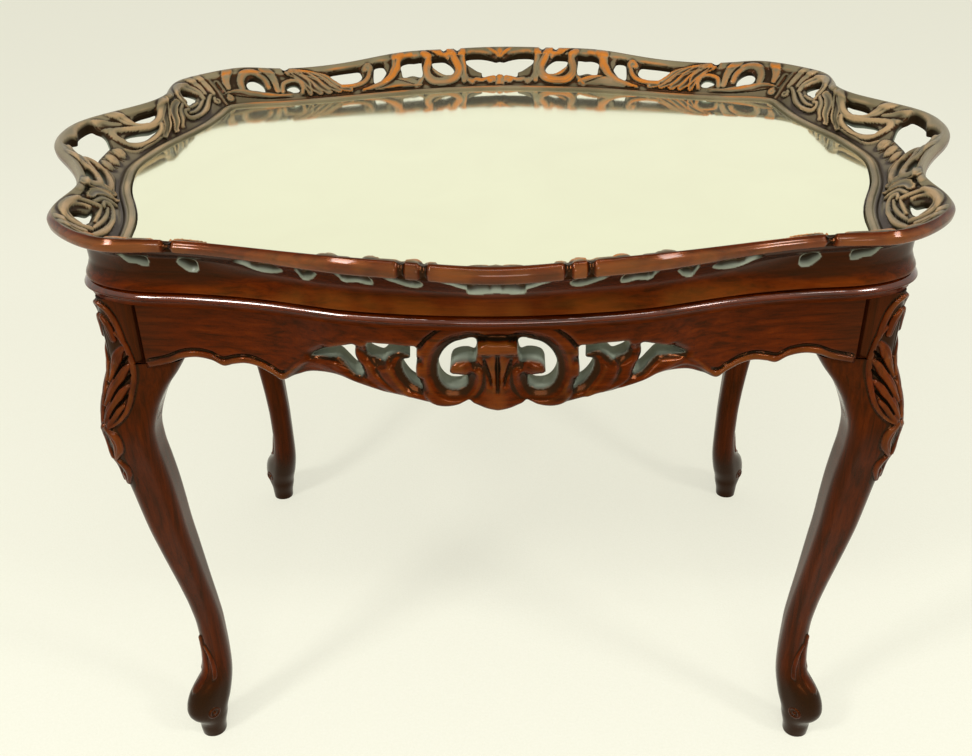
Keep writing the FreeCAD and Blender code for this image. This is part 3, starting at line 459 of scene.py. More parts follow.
def make_mesh(name, points, quads, caps, fields):
    """A mesh object from points in mm, its four-sided faces, its end faces and its fields."""
    mesh = bpy.data.meshes.new(name)
    mesh.from_pydata((points * MM).tolist(), [], quads.tolist() + [[int(v) for v in cap] for cap in caps])
    store_fields(mesh, fields)
    mesh.validate()
    obj = bpy.data.objects.new(name, mesh)
    bpy.context.scene.collection.objects.link(obj)
    return obj


def select_only(obj):
    bpy.ops.object.select_all(action="DESELECT")
    obj.select_set(True)
    bpy.context.view_layer.objects.active = obj


def tidy_mesh(obj, angle=38.0):
    """Loose and doubled points out, faces turned outwards, shaded smooth but for sharp edges."""
    select_only(obj)
    bpy.ops.object.mode_set(mode="EDIT")
    bpy.ops.mesh.select_all(action="SELECT")
    bpy.ops.mesh.remove_doubles(threshold=DOUBLED)
    bpy.ops.mesh.delete_loose()
    bpy.ops.mesh.select_all(action="SELECT")
    bpy.ops.mesh.normals_make_consistent(inside=False)
    bpy.ops.mesh.select_all(action="DESELECT")
    bpy.ops.object.mode_set(mode="OBJECT")
    bpy.ops.object.shade_smooth_by_angle(angle=math.radians(angle))


def mirrored_copy(obj, name, axis):
    """A copy of a piece on the other side of the table, with its faces turned back outwards."""
    mesh = obj.data.copy()
    mesh.name = name
    flip = [1, 1, 1]
    flip[axis] = -1
    mesh.transform(Matrix.Diagonal(flip + [1]))
    mesh.flip_normals()
    copy = bpy.data.objects.new(name, mesh)
    bpy.context.scene.collection.objects.link(copy)
    return copy


def cell_corners(grid):
    """The four corners' values of each cell of a grid."""
    return [grid[:-1, :-1], grid[1:, :-1], grid[:-1, 1:], grid[1:, 1:]]


def snap_to_outlines(x, y, loops, cell):
    """Marks the grid's cells that fall in an opening and moves the cells' corners to its outline.

    Returns moved x and y, the cells to leave out, and each point's distance to the openings."""
    x, y = x.copy(), y.copy()
    gone = np.zeros((x.shape[0] - 1, x.shape[1] - 1), bool)
    clear = np.full(x.shape, FAR_OFF)
    for loop in loops:
        path = smooth_path(loop, 1.5, closed=True)
        low, high = path.min(0) - 8, path.max(0) + 8
        near = (x > low[0]) & (x < high[0]) & (y > low[1]) & (y < high[1])
        rows, cols = np.where(near.any(1))[0], np.where(near.any(0))[0]
        box = np.ix_(range(rows[0], rows[-1] + 1), range(cols[0], cols[-1] + 1))
        dist, nx, ny = outline_distance(path, x[box], y[box])
        corners = cell_corners(dist)
        inner = (sum(corners) / 4 < 0) & (np.maximum.reduce(corners) < 0.75 * cell)
        # How many of the cells round a point are open, out of how many there are.
        out, full = np.zeros(dist.shape, int), np.zeros(dist.shape, int)
        for count, cells in ((out, inner), (full, 1)):
            for corner in cell_corners(count):
                corner += cells
        on_edge = (out > 0) & (out < full)
        stray = (out == 0) & (dist < 0)
        move = on_edge | stray
        x[box], y[box] = np.where(move, nx, x[box]), np.where(move, ny, y[box])
        gone[np.ix_(range(rows[0], rows[-1]), range(cols[0], cols[-1]))] |= inner
        clear[box] = np.minimum(clear[box], np.where(move, 0, np.maximum(dist, 0)))
    return x, y, gone, clear


def open_edges(gone):
    """The edges round the open cells of a grid, as pairs of (row, column)."""
    edges = {}
    for r, c in np.argwhere(gone):
        ring = [(r, c), (r, c + 1), (r + 1, c + 1), (r + 1, c)]
        for one, two in zip(ring, ring[1:] + ring[:1]):
            key = (min(one, two), max(one, two))
            edges[key] = None if key in edges else (one, two)
    return [pair for pair in edges.values() if pair]


def pierced_shell(name, face, back, gone, joining, fields):
    """A closed solid from a carved face, a matching back and the rows that join them.

    face and back are grids of points with the same rows and columns. gone marks the cells that
    are open; walls are built through the wood round each. joining holds the rows between the
    bottom of the face and the bottom of the back, listed from the face's side. Each field has its
    values on the face, the back and those rows, and on the walls next to the face and the back."""
    rows, cols = face.shape[:2]
    count = rows * cols
    f = np.arange(count).reshape(rows, cols)
    b = f + count
    lines = 2 * count + np.arange(len(joining) * cols).reshape(-1, cols)
    used = lines.max() + 1
    faces = np.stack([f[:-1, :-1], f[:-1, 1:], f[1:, 1:], f[1:, :-1]], -1)[~gone]
    top = np.stack([f[-1, :-1], f[-1, 1:], b[-1, 1:], b[-1, :-1]], -1)
    quads = [faces, faces[:, ::-1] + count, top]
    chain = [f[0], *lines, b[0]]
    for one, two in zip(chain, chain[1:]):
        quads.append(np.stack([one[1:], one[:-1], two[:-1], two[1:]], -1))
    wall_ids, wall_points, wall_from = {}, [], []
    for pair in open_edges(gone):
        for at in pair:
            if at not in wall_ids:
                for k in range(1, WALL_STEPS):
                    wall_points.append(face[at] + (back[at] - face[at]) * k / WALL_STEPS)
                    wall_from.append(at)
                wall_ids[at] = [f[at], *range(used, used + WALL_STEPS - 1), b[at]]
                used += WALL_STEPS - 1
        one, two = wall_ids[pair[0]], wall_ids[pair[1]]
        quads.append(np.array([[two[k], one[k], one[k + 1], two[k + 1]] for k in range(WALL_STEPS)]))
    points = np.vstack([face.reshape(-1, 3), back.reshape(-1, 3), np.vstack(joining),
                        np.reshape(wall_points, (-1, 3))])
    at = tuple(np.array(wall_from, int).reshape(-1, 2).T)
    inwards = np.tile(np.linspace(0, 1, WALL_STEPS - 1) ** 2.5, len(wall_from) // (WALL_STEPS - 1))
    full = {}
    for key, (on_face, on_back, on_joining, near_face, near_back) in fields.items():
        one, two = (np.broadcast_to(v, (rows, cols))[at] for v in (near_face, near_back))
        full[key] = np.concatenate([
            np.broadcast_to(on_face, (rows, cols)).ravel(), np.broadcast_to(on_back, (rows, cols)).ravel(),
            np.broadcast_to(on_joining, lines.shape).ravel(), one + (two - one) * inwards])
    caps = [np.concatenate([f[:, c], b[::-1, c], lines[::-1, c]]) for c in (0, cols - 1)]
    return make_mesh(name, points, np.vstack(quads), caps, full)


def grid_normals(grid):
    """Unit normals of a grid of points, from its rows and columns."""
    down = np.gradient(grid, axis=0)
    along = np.gradient(grid, axis=1)
    n = np.cross(along, down)
    return n / np.maximum(np.linalg.norm(n, axis=-1, keepdims=True), TINY)


def crest_and_hollow(height, clear):
    """How much each point stands over or lies below its surroundings, for wear and for painted shade in the
    hollows.
    """
    lift = height - soften(np.where(clear <= 0, -3.0, height), 3)
    crest = 0.55 * between(lift, 0, 1) + 0.5 * between(height, 0, 2.6)
    return np.clip(crest, 0, 1), between(lift, 0, -0.9)


def eased(clear, sizes):
    """How far an edge is rounded down, 1 at the edge and less with the distance from it."""
    return np.exp(-clear / max(sizes.edge_ease, 0.1))


# ---------------------------------------------------------------- gallery

def across(t):
    """The border line at loop places t, the way from it to the rim, and how far that is."""
    line = line_at(t)
    way = rim_at(t) - line
    width = np.linalg.norm(way, axis=-1)
    return line, way / width[:, None], width


def row_at(line, way, out, z):
    """A row of points at height z, out mm outside the border line."""
    return np.column_stack([line + way * np.reshape(out, (-1, 1)), np.full(len(line), z)])


# The bead and the plain wall inside it, from the carving's foot round to the underside, as
# (mm outside the border line, height, how rubbed, how waxed).
BEAD = [(-0.1, BORDER - 1.0, 0.0, 1.0), (-0.8, BORDER - 0.1, 0.1, 1.0), (-2.0, BORDER + 0.5, 0.45, 1.0),
        (-3.6, BORDER + 0.5, 0.55, 1.0), (-5.0, BORDER, 0.35, 1.0), (-WALL_IN + 0.4, BORDER - 0.5, 0.1, 1.0),
        (-WALL_IN, FLOOR, 0.0, 0.9), (-LEDGE_IN, FLOOR, 0.0, 0.5), (-LEDGE_IN, UNDER, 0.0, 0.0)]


def gallery_faces(t, q):
    """Inner face, outer cove and inner edge of the gallery at loop places t and heights q of carving."""
    line, way, width = across(t)
    drop = drop_at(t)[:, 0]
    top = RIM_TOP - drop
    roll = 14.0 - 0.5 * drop
    foot = under_at(t)[:, 0] * width
    squeeze = (top - DISH) / DISH_RISE

    def dish(height):
        return DISH + (height - DISH) * squeeze

    def spread(rows):
        """Smooth sections through rows of (height of carving, mm outside the line, height)."""
        values = np.stack([np.stack([np.broadcast_to(v, width.shape) for v in row[1:]], -1) for row in rows])
        knots = [row[0] for row in rows]
        nz = np.stack([smooth_steps(knots, values[:, c], q[:, c]) for c in range(len(t))], 1)
        return np.concatenate([line + way * nz[..., :1], nz[..., 1:]], -1)

    hollow = np.maximum(0.333 * width, foot - 4.0)
    inner = spread([
        (FACE_FOOT, FACE_FOOT, BORDER - 0.9), (4.0, 4.0, BORDER - 0.5),
        (8.0, np.minimum(0.17 * width, 7.6), dish(512.2)), (11.0, np.maximum(0.20 * width, 8.5), dish(DISH)),
        (17.5, 0.305 * width, dish(518.9)), (24.75, 0.42 * width, dish(524.0)),
        (31.6, 0.53 * width, dish(528.0)), (38.5, 0.64 * width, dish(532.0)),
        (46.75, 0.79 * width, top - 2.9), (51.5, 0.87 * width, top - 0.4), (55.0, 0.905 * width, top),
        (58.5, width - 2.3, top - 1.9), (62.0, width - 0.1, top - 0.46 * roll),
        (66.0, width - 0.6, top - 0.80 * roll), (FACE_TOP, width - 5.0, top - roll)])
    outer = spread([
        (0.0, foot, UNDER), (1.2, foot + 0.3, UNDER + 2),
        (5.0, np.minimum(0.5 * (foot + hollow), foot + 0.5), UNDER + 7.5), (12.0, hollow, UNDER + 15),
        (24.75, np.maximum(0.42 * width + 4.3, hollow), dish(524.0) - 6.2),
        (38.5, 0.64 * width + 4.3, dish(532.0) - 6.5), (50.0, 0.843 * width, top - roll + 1),
        (FACE_TOP, width - 5.4, top - roll + 0.3)])
    return inner, outer, [row_at(line, way, out, z) for out, z, _, _ in BEAD]


def build_gallery(name, centre, half_length, cuts, notches, holes, fullness, wax_and_sheen_top, sizes):
    """One carved and pierced side of the gallery, about its centre station on the loop."""
    cell = sizes.grid
    s = np.linspace(-half_length, half_length, int(round(2 * half_length / cell)) + 1)
    q = np.linspace(FACE_FOOT, FACE_TOP, int(round((FACE_TOP - FACE_FOOT) / cell)) + 1)
    S, Q, gone, clear = snap_to_outlines(*np.meshgrid(s, q), holes, cell)
    from_middle, from_end = np.abs(S), half_length - np.abs(S)
    height = carve(cuts, S, Q, fullness) * sizes.relief
    # The sunk ground below the rim, which gets a little painted shade.
    bare = between(height, 0.5, 0) * between(Q, 46, 43)
    # The carving and its ground run out at the mitres, at the foot and on the rim.
    height = height - sizes.ground * between(Q, 45, 42.5)
    height *= between(from_end, 0, 2.5) * between(Q, FACE_FOOT + 1, FACE_FOOT + 3) * between(Q, 54, 45)
    for place, reach, depth in notches:
        away = (from_middle - place) / reach
        height -= depth * np.clip(1 - away ** 2, 0, 1) ** 1.5 * between(Q, 44, 49)
    height -= 1.2 * eased(clear, sizes)
    crest, hollow = crest_and_hollow(height, clear)
    flat, outer, joining = gallery_faces(t_from_arc(centre, s), np.repeat(q[:, None], len(s), 1))
    normals = grid_normals(flat)
    normals *= np.sign(normals[len(q) // 2, len(s) // 2, 2])
    inner = flat.copy()
    # Points moved on to an outline take their own place on the loop.
    moved = np.where((np.abs(S - s) > TINY) | (np.abs(Q - q[:, None]) > TINY))
    on_face, on_cove, _ = gallery_faces(t_from_arc(centre, S[moved]), Q[moved][None])
    inner[moved], outer[moved] = on_face[0], on_cove[0]
    inner = inner + normals * height[..., None]
    # Nothing stands higher than the rim or further out than the CAD's box.
    over = np.maximum(inner[..., 2] - RIM_TOP + SOFT_TOP, 0)
    inner[..., 2] = np.where(over > 0, RIM_TOP - SOFT_TOP * np.exp(-over / SOFT_TOP), inner[..., 2])
    for grid in (inner, outer):
        grid[..., :2] = np.clip(grid[..., :2], -HALF_SIZE, HALF_SIZE)
    # The wax ends on the rim, lower at the mitres; on the ends it reaches over the rim, and its grey there is
    # painted pale reflection. The rim over it is rubbed and polished.
    wax_edge = WAX_TOP + (wax_and_sheen_top - WAX_TOP) * between(from_end, 6, 51)
    rim = between(Q, wax_edge, wax_edge + 4) * between(height, -1, 0)
    # The bead is rubbed bright between a dark flat and the dull plain wall below it.
    _, _, bead_worn, bead_wax = (column[:, None] for column in np.array(BEAD).T)
    dark_foot = 0.75 * np.exp(-((Q - 3.0) / 2.2) ** 2)
    # Painted shade and light on the walls of the openings: the upper ones, which face down, stay dark over
    # their old polish; the lower ones, which face up, are painted pale, bare and lit, most towards the cove.
    low = between(Q, 38, 29)
    # Painted shade darkens the cove above its foot, most under the rim's overhang and more away from the
    # middle of its side; painted light in the rubbed colour lies faintly all over it, brightest along its
    # foot.
    far = between(from_middle, 130, 220)
    cove_shade = (0.24 + 0.15 * far) * between(Q, 11 - 9 * far, 23 - 15 * far) + 0.5 * between(Q, 42, 50)
    cove_foot_light = 0.1 + 0.6 * (1 - 0.6 * far) * between(Q, 13 - 5 * far, 5 - 5 * far)
    edge = clear <= 0
    fields = {
        "crest": (np.maximum(crest, 0.75 * rim), cove_foot_light, bead_worn, 0, 0),
        "hollow": (np.maximum(np.maximum(hollow, 0.22 * bare), dark_foot), cove_shade, 0, 0, 0),
        "waxed": (np.maximum(between(Q, wax_edge, wax_edge - 5), 0.05 * rim), 0, bead_wax, 1.0, 0.6),
        "polished": (0.3 * rim, 0, 0, 0, 0),
        "cut_wall": (0.3 * edge, 0.8 * edge, 0, 1, 1),
        "wall_light": (0, low, 0, 0, 0.6 * low),
    }
    obj = pierced_shell(name, inner, outer, gone, joining, fields)
    tidy_mesh(obj)
    return obj


def mirror_loop(loop):
    return [(-a, b) for a, b in loop][::-1]


def whole_opening(half):
    """A closed outline from its right half, listed from the top middle to the bottom middle."""
    return half + [(-a, b) for a, b in half[-2:0:-1]]


# ---------------------------------------------------------------- aprons

LONG_FACE = [(0, 256), (56, 254), (112, 240), (150, 226), (184, 217.5), (223, 212), (264, 208.5), (290, 207)]
END_FACE = [(0, 341), (31, 338), (65, 331), (98, 319), (127, 309.5), (150, 306), (190, 305)]
APRON_TOP, APRON_LOW, APRON_THICK = 478.0, 409.0, 24.0
LONG_EDGE = [
    (0, 409), (10, 410.5), (19, 414.5), (22, 416.5), (30, 412.5), (40, 411), (52, 413), (62, 415),
    (75, 417), (88, 418.5), (106, 423), (124, 427), (142, 425.5), (155, 420), (165, 415.5), (172, 419.5),
    (183, 425), (193, 427), (203, 425.5), (211, 423.5), (220, 428), (232, 430), (244, 428), (256, 423),
    (276, 418)]
END_EDGE = [
    (0, 413), (12, 414.5), (22, 419), (28, 424), (48, 428.5), (70, 428), (84, 425), (92, 420), (100, 426),
    (115, 430), (132, 430), (146, 427), (158, 422), (178, 418)]
APRON_HOLES = [
    [(15, 465), (26, 464.5), (33, 462), (39, 456.5), (42.7, 449.5), (44, 442), (43.3, 433.5), (40, 427.5),
     (35, 424.2), (28, 424), (23.5, 426.5), (22, 430.5), (22.2, 435), (25, 437.6), (29.5, 438.6),
     (34.7, 439.5), (33, 446.4), (27.4, 449.3), (21.5, 449.6), (16.3, 449)],
    [(59, 459.5), (59.5, 446), (59.5, 436), (56.5, 424.5), (64, 427), (70, 435), (71.5, 442), (70.5, 446),
     (66, 447.5), (65.5, 450), (73.5, 452), (80, 449), (84.5, 444.5), (88, 444.5), (95.5, 447.5),
     (96.5, 453), (95, 459), (86, 460), (76, 460.5), (66, 460.3)],
    [(106, 455.5), (106, 447), (103, 438), (101.5, 430), (107, 430), (113, 436), (119, 441), (128, 440.5),
     (140, 440.5), (130, 448), (118, 453)]]
# Scooped land round each opening: reach, depth, and the points that stay high, as (x, z, radius).
APRON_SCOOPS = [(8.6, 4.6, [(28, 445, 7.5), (8, 455, 9)]),
                (6.5, 3.2, [(60, 462, 9), (96, 462, 8), (58, 440, 4)]),
                (4.5, 2.2, [(120, 458, 9), (104, 446, 4)])]
# The leaves lie a little below the plain board and the big scroll.
LEAF_GROUND = [(163, 417), (152, 430), (140, 440), (128, 443.5), (116, 450), (107, 452), (100, 457),
               (94, 457), (80, 457.5), (64, 457), (61, 446), (60, 434), (56, 424), (48, 414), (48, 404),
               (170, 404)]
APRON_CUTS = [
    # shell: cushion over a body with pointed flutes
    ("round", 4.8, (5.6, 6.0, 4.6), [(0, 461), (9, 461), (14, 459.5)]),
    ("swell", 2.6, (13, 12, 15), [(0, 458), (0, 436), (0, 412)]),
    ("groove", 4.6, (0.8, 2.9, 2.2, 0.6), [(0, 455.5), (0, 447), (0, 436), (0, 423)]),
    ("groove", 4.2, (0.8, 2.4, 1.9, 0.6), [(10, 451), (8.4, 444), (5.8, 436), (4.6, 428)]),
    ("groove", 2.6, (1.2, 2.2, 2.4, 2.0),
     [(14.5, 449), (10.6, 441), (9.8, 434), (11.5, 427), (15.5, 420.5), (20, 416)]),
    # arch over the shell
    ("groove", 2.6, (2.6, 3.0, 2.6), [(-25, 467.5), (0, 469.5), (25, 467.5)]),
    # dark line beside the big scroll
    ("groove", 4.2, (0.9, 1.7, 1.9), [(39, 477), (45, 472.5), (51.5, 466.8), (57.5, 459)]),
    # curled end of the big scroll
    ("swell", 1.6, (5.5, 5.0), [(27, 444), (31, 443.5)]),
    # leaves
    ("tilt", 2.8, (3.0, 6.5, 6.0, 2.0), [(84, 446), (83, 436), (77, 426), (66, 418)]),
    ("tilt", 2.4, (2.6, 5.5, 5.0, 1.6), [(99, 452), (98, 438), (91, 428), (78, 420)]),
    ("tilt", 2.2, (2.0, 5.2, 5.5, 2.0), [(138, 437), (122, 434), (106, 427), (92, 422)]),
    ("tilt", 1.8, (1.6, 3.4, 3.4, 2.0), [(161, 421), (148, 431), (136, 434), (118, 429)]),
    ("groove", 1.0, (0.5, 0.9, 0.5), [(91, 442), (87, 432), (79, 423), (69, 416.5)]),
    ("groove", 0.9, (0.5, 0.9, 0.5), [(100, 428), (91, 423), (82, 419)]),
    ("groove", 0.8, (0.4, 0.8, 0.4), [(128, 431), (115, 427), (103, 424)]),
]


def build_apron(name, along, face_plan, edge, limit, holes, scoops, cuts, sizes):
    """A shaped apron, carved on its outer face; along is the axis it runs along, 0 for X, 1 for Y."""
    cell = sizes.grid
    plan, low = smooth_path(face_plan, 1.0), smooth_path(edge, 1.0)
    x = np.linspace(-limit, limit, int(round(2 * limit / cell)) + 1)
    edge_z = np.interp(np.abs(x), low[:, 0], low[:, 1])
    r = np.linspace(0, 1, int(round((APRON_TOP - APRON_LOW) / cell)) + 1)[:, None]
    X = np.repeat(x[None], len(r), 0)
    Z = edge_z + (APRON_TOP - edge_z) * r
    X, Z, gone, clear = snap_to_outlines(X, Z, holes, cell)
    out_x = np.abs(X)
    from_edge = Z - np.interp(out_x, low[:, 0], low[:, 1])
    height = carve(cuts, X, Z) * sizes.relief
    if cuts:
        depth, _, _ = outline_distance(smooth_path(LEAF_GROUND, 3.0, closed=True), out_x, Z)
        height -= 2.4 * between(depth, 0, -2.8) ** 1.3
    for k, (loop, (reach, deep, high_spots)) in enumerate(zip(holes, scoops)):
        away, _, _ = outline_distance(smooth_path(loop, 2.0, closed=True), out_x, Z)
        scoop = deep * np.clip(1 - (np.maximum(away, 0) / reach) ** 2, 0, 1)
        if k > 0:
            # Over the smaller openings the board stays flat.
            scoop *= between(Z, 457.5, 454.5)
        for hx, hz, hr in high_spots:
            scoop *= between(np.hypot(out_x - hx, Z - hz), hr, hr + 4)
        height -= scoop
    height = soften(height, 1)
    # A lip runs along the lower edge, with a groove above it.
    lip = 2.2 * np.sqrt(np.clip(1 - ((from_edge - 3.1) / 3.3) ** 2, 0, 1))
    lip -= 0.9 * np.exp(-(from_edge - 7.2) ** 2)
    height += lip * (between(out_x, 160, 164) if cuts else 1.0)
    height -= 1.4 * eased(np.minimum(clear, from_edge * 1.2), sizes)
    height *= between(out_x, limit, limit - 3)
    crest, hollow = crest_and_hollow(height, clear)
    off = np.interp(out_x, plan[:, 0], plan[:, 1])
    slope = np.interp(out_x, plan[:, 0], np.gradient(plan[:, 1], plan[:, 0])) * np.sign(X)
    length = np.sqrt(1 + slope ** 2)
    out = np.minimum(off + height / length, plan[:, 1].max() + 4)
    side = X - height * slope / length

    def place(a, b, z):
        return np.stack([a, b, z] if along == 0 else [b, a, z], -1)

    under = [place(X[0], off[0] - f * APRON_THICK, Z[0]) for f in (0.25, 0.5, 0.75)]
    # Painted shade: the face darkens towards its ends by the legs, and the back, inside the base, a little
    # all over.
    end_shade = 0.26 * between(out_x, limit - 45, limit - 5)
    on_outline = clear <= 0
    fields = {
        "crest": (crest, 0, 0, 0, 0),
        "hollow": (np.maximum(hollow, end_shade), 0.2, 0, 0, 0),
        "polished": (0.12 * crest, 0, 0, 0, 0),
        # The walls of the openings are bare wood with painted light.
        "cut_wall": (0.3 * on_outline, 1.0 * on_outline, 0, 1, 1),
        "wall_light": (0.8, 1.0, 0, 0.8, 1.0),
    }
    obj = pierced_shell(name, place(side, out, Z), place(X, off - APRON_THICK, Z), gone, under, fields)
    tidy_mesh(obj)
    return obj


# ---------------------------------------------------------------- top rails

MOULD_OUT = [1, 1, 1, 1.2, 1.3, 1.5, 2.5, 3, 3, 2.4, 2, 2, 2, 2]
# The rails' section as (mm out from the nose, mm up), and their flat top and opening.
MOULDING = [(-4.6, 0), (-4.9, 1.2), (-4.7, 3.2), (-3.5, 4.5), (-1.8, 5.3), (-0.5, 6.3), (0.0, 7.4),
            (-0.4, 8.5), (-1.3, 9.7), (-2.6, 10.8), (-4.2, 11.6)]
FRAME_TOP, OPENING = 490.2, (268.0, 179.0)
mould_at = closed_curve(all_round(MOULD_OUT))


def build_rail(name, first, last, axis):
    """A moulded top rail between two places on the loop: rounded nose, small cove below.

    axis is the one across the rail, 1 for a long side and 0 for an end."""
    t = np.linspace(first, last, int((last - first) * 24) + 1)
    line, way, width = across(t)
    nose = under_at(t)[:, 0] * width + mould_at(t)[:, 0]
    inner = (OPENING[axis] * np.sign(line[:, axis]) - line[:, axis]) / way[:, axis]
    section = smooth_path([(n, APRON_TOP + z) for n, z in MOULDING] + [(-6.0, FRAME_TOP)], 0.5)
    rows = [row_at(line, way, inner, z) for z in (FRAME_TOP, APRON_TOP)]
    grid = np.stack(rows + [row_at(line, way, nose + n, z) for n, z in section])
    ids = np.arange(grid.shape[0] * grid.shape[1]).reshape(grid.shape[:2])
    below = np.roll(ids, -1, 0)
    quads = np.stack([ids[:, :-1], ids[:, 1:], below[:, 1:], below[:, :-1]], -1).reshape(-1, 4)
    # The upper half of the nose is the brightest.
    high = grid[..., 2] - APRON_TOP
    bright = between(high, 7.5, 8.4) * between(high, 12.0, 11.6)
    caps = [ids[:, 0], ids[::-1, -1]]
    obj = make_mesh(name, grid.reshape(-1, 3), quads, caps, {"polished": bright.ravel()})
    tidy_mesh(obj)
    return obj


# ---------------------------------------------------------------- legs

# Height, how far the outer faces stand out from the foot's centre, and half the section's width.
LEG_SECTIONS = [
    (0, 9.4, 11.5), (8, 10.1, 12.2), (24, 10.5, 14.0), (44, 6.7, 14.5), (64, 2.3, 14.0),
    (84, -0.8, 13.0), (103, -2.2, 12.3), (129, -1.9, 12.2), (155, 0.1, 12.4), (181, 3.4, 13.0),
    (207, 7.3, 14.0), (233, 11.2, 15.0), (257, 14.8, 16.0), (281, 17.6, 16.9), (303, 20.0, 17.5),
    (325, 22.8, 18.0), (346, 26.2, 18.8), (365, 28.2, 20.0), (382, 26.9, 21.8), (400, 23.2, 24.6),
    (412, 19.8, 27.4), (423, 18.0, 30.0)]
FOOT_X, FOOT_Y, POST_X, POST_Y = 287.0, 194.0, 305.0, 207.0
POST, POST_CORNER, KNEE_TOP = 32.0, 10.0, 423.0
# Cuts on the outer arris as (mm round from the arris, height above the floor).
LEG_CUTS = [
    # two borders, the second springing from under the first
    ("round", 2.6, (2.2, 2.8, 2.6), [(1, 475), (7, 470.5), (11, 462), (13.5, 452), (15, 442)]),
    ("round", 2.6, (2.0, 2.6, 2.8, 2.4, 1.4),
     [(11, 450), (16, 440), (19, 421), (21, 402), (19.5, 388), (13, 378), (3, 371)]),
    # petals inside them, pointing down to the arris
    ("round", 2.4, (2.4, 3.4, 2.6), [(2, 463), (6, 455), (8, 444)]),
    ("round", 2.6, (2.6, 4.4, 3.6, 1.4), [(14, 437), (9, 431), (4.5, 420), (1.5, 408)]),
    ("round", 2.8, (2.6, 4.6, 4.0, 1.6), [(16, 421), (10.5, 414), (5.5, 403), (1.5, 390)]),
    ("round", 2.8, (2.6, 4.6, 4.0, 1.6), [(17, 405), (11, 398), (6, 388), (1.5, 376)]),
    ("round", 2.6, (2.2, 3.8, 3.0), [(16, 390), (10, 383), (4, 374)]),
    ("groove", 2.4, (1.2, 1.5, 0.8), [(17, 430), (10, 421.5), (5, 411)]),
    ("groove", 2.4, (1.2, 1.5, 0.8), [(18, 414), (11, 405.5), (6, 394)]),
    ("groove", 2.4, (1.2, 1.5, 0.8), [(18, 398), (11, 390), (6, 380)]),
    ("groove", 1.8, (1.0, 1.2, 1.0), [(0, 460), (0, 430), (0, 378)]),
    # two husks below
    ("round", 3.2, (2.6, 4.4, 4.0, 1.4), [(2, 371), (8, 364), (8.5, 354), (2, 341)]),
    ("groove", 2.0, (0.8, 1.4, 0.8), [(0, 369), (0, 358), (0, 348)]),
    ("round", 2.6, (2.0, 3.2, 2.6, 1.4), [(1.5, 341), (5.5, 334), (6, 326), (3, 316)]),
    ("round", 2.0, (3.0, 2.4), [(0, 322), (0, 314)]),
    # leaf above the toe
    ("round", 2.4, (2.0, 3.4, 4.4, 5.0), [(0, 118), (0, 104), (0, 86), (0, 62)]),
    ("round", 1.8, (1.4, 2.4, 2.2), [(3, 108), (8, 92), (12, 72)]),
]
# How far the toe rolls out beyond the foot's round section, by height.
TOE = [(13, 0), (17, 0.8), (21, 3.4), (26, 7.6), (32, 11.4), (38, 13.8), (44, 14.6), (51, 13.8), (57, 11.4),
       (62, 8.0), (67, 4.0), (72, 1.2), (80, 0)]


def section_ring(half, corner, fractions):
    """Points round a rounded square, as fractions of the way from its outer corner to its inner one.

    half and corner are columns, one row a section; the other side is this one with x and y swapped."""
    flat = half - corner
    turn = corner * math.pi / 2
    run = fractions[None] * (4 * flat + 2 * turn)
    stops = [turn / 2, turn / 2 + 2 * flat, 1.5 * turn + 2 * flat, 1.5 * turn + 4 * flat]
    where = [run < stop for stop in stops]
    first = math.pi / 4 - run / corner
    second = -(run - stops[1]) / corner
    third = -math.pi / 2 - (run - stops[3]) / corner
    x = np.select(where, [flat + corner * np.cos(first), half + 0 * run, flat + corner * np.cos(second),
                          flat - (run - stops[2])], -flat + corner * np.cos(third))
    y = np.select(where, [flat + corner * np.sin(first), flat - (run - stops[0]),
                          -flat + corner * np.sin(second), -half + 0 * run], -flat + corner * np.sin(third))
    return x, y, run


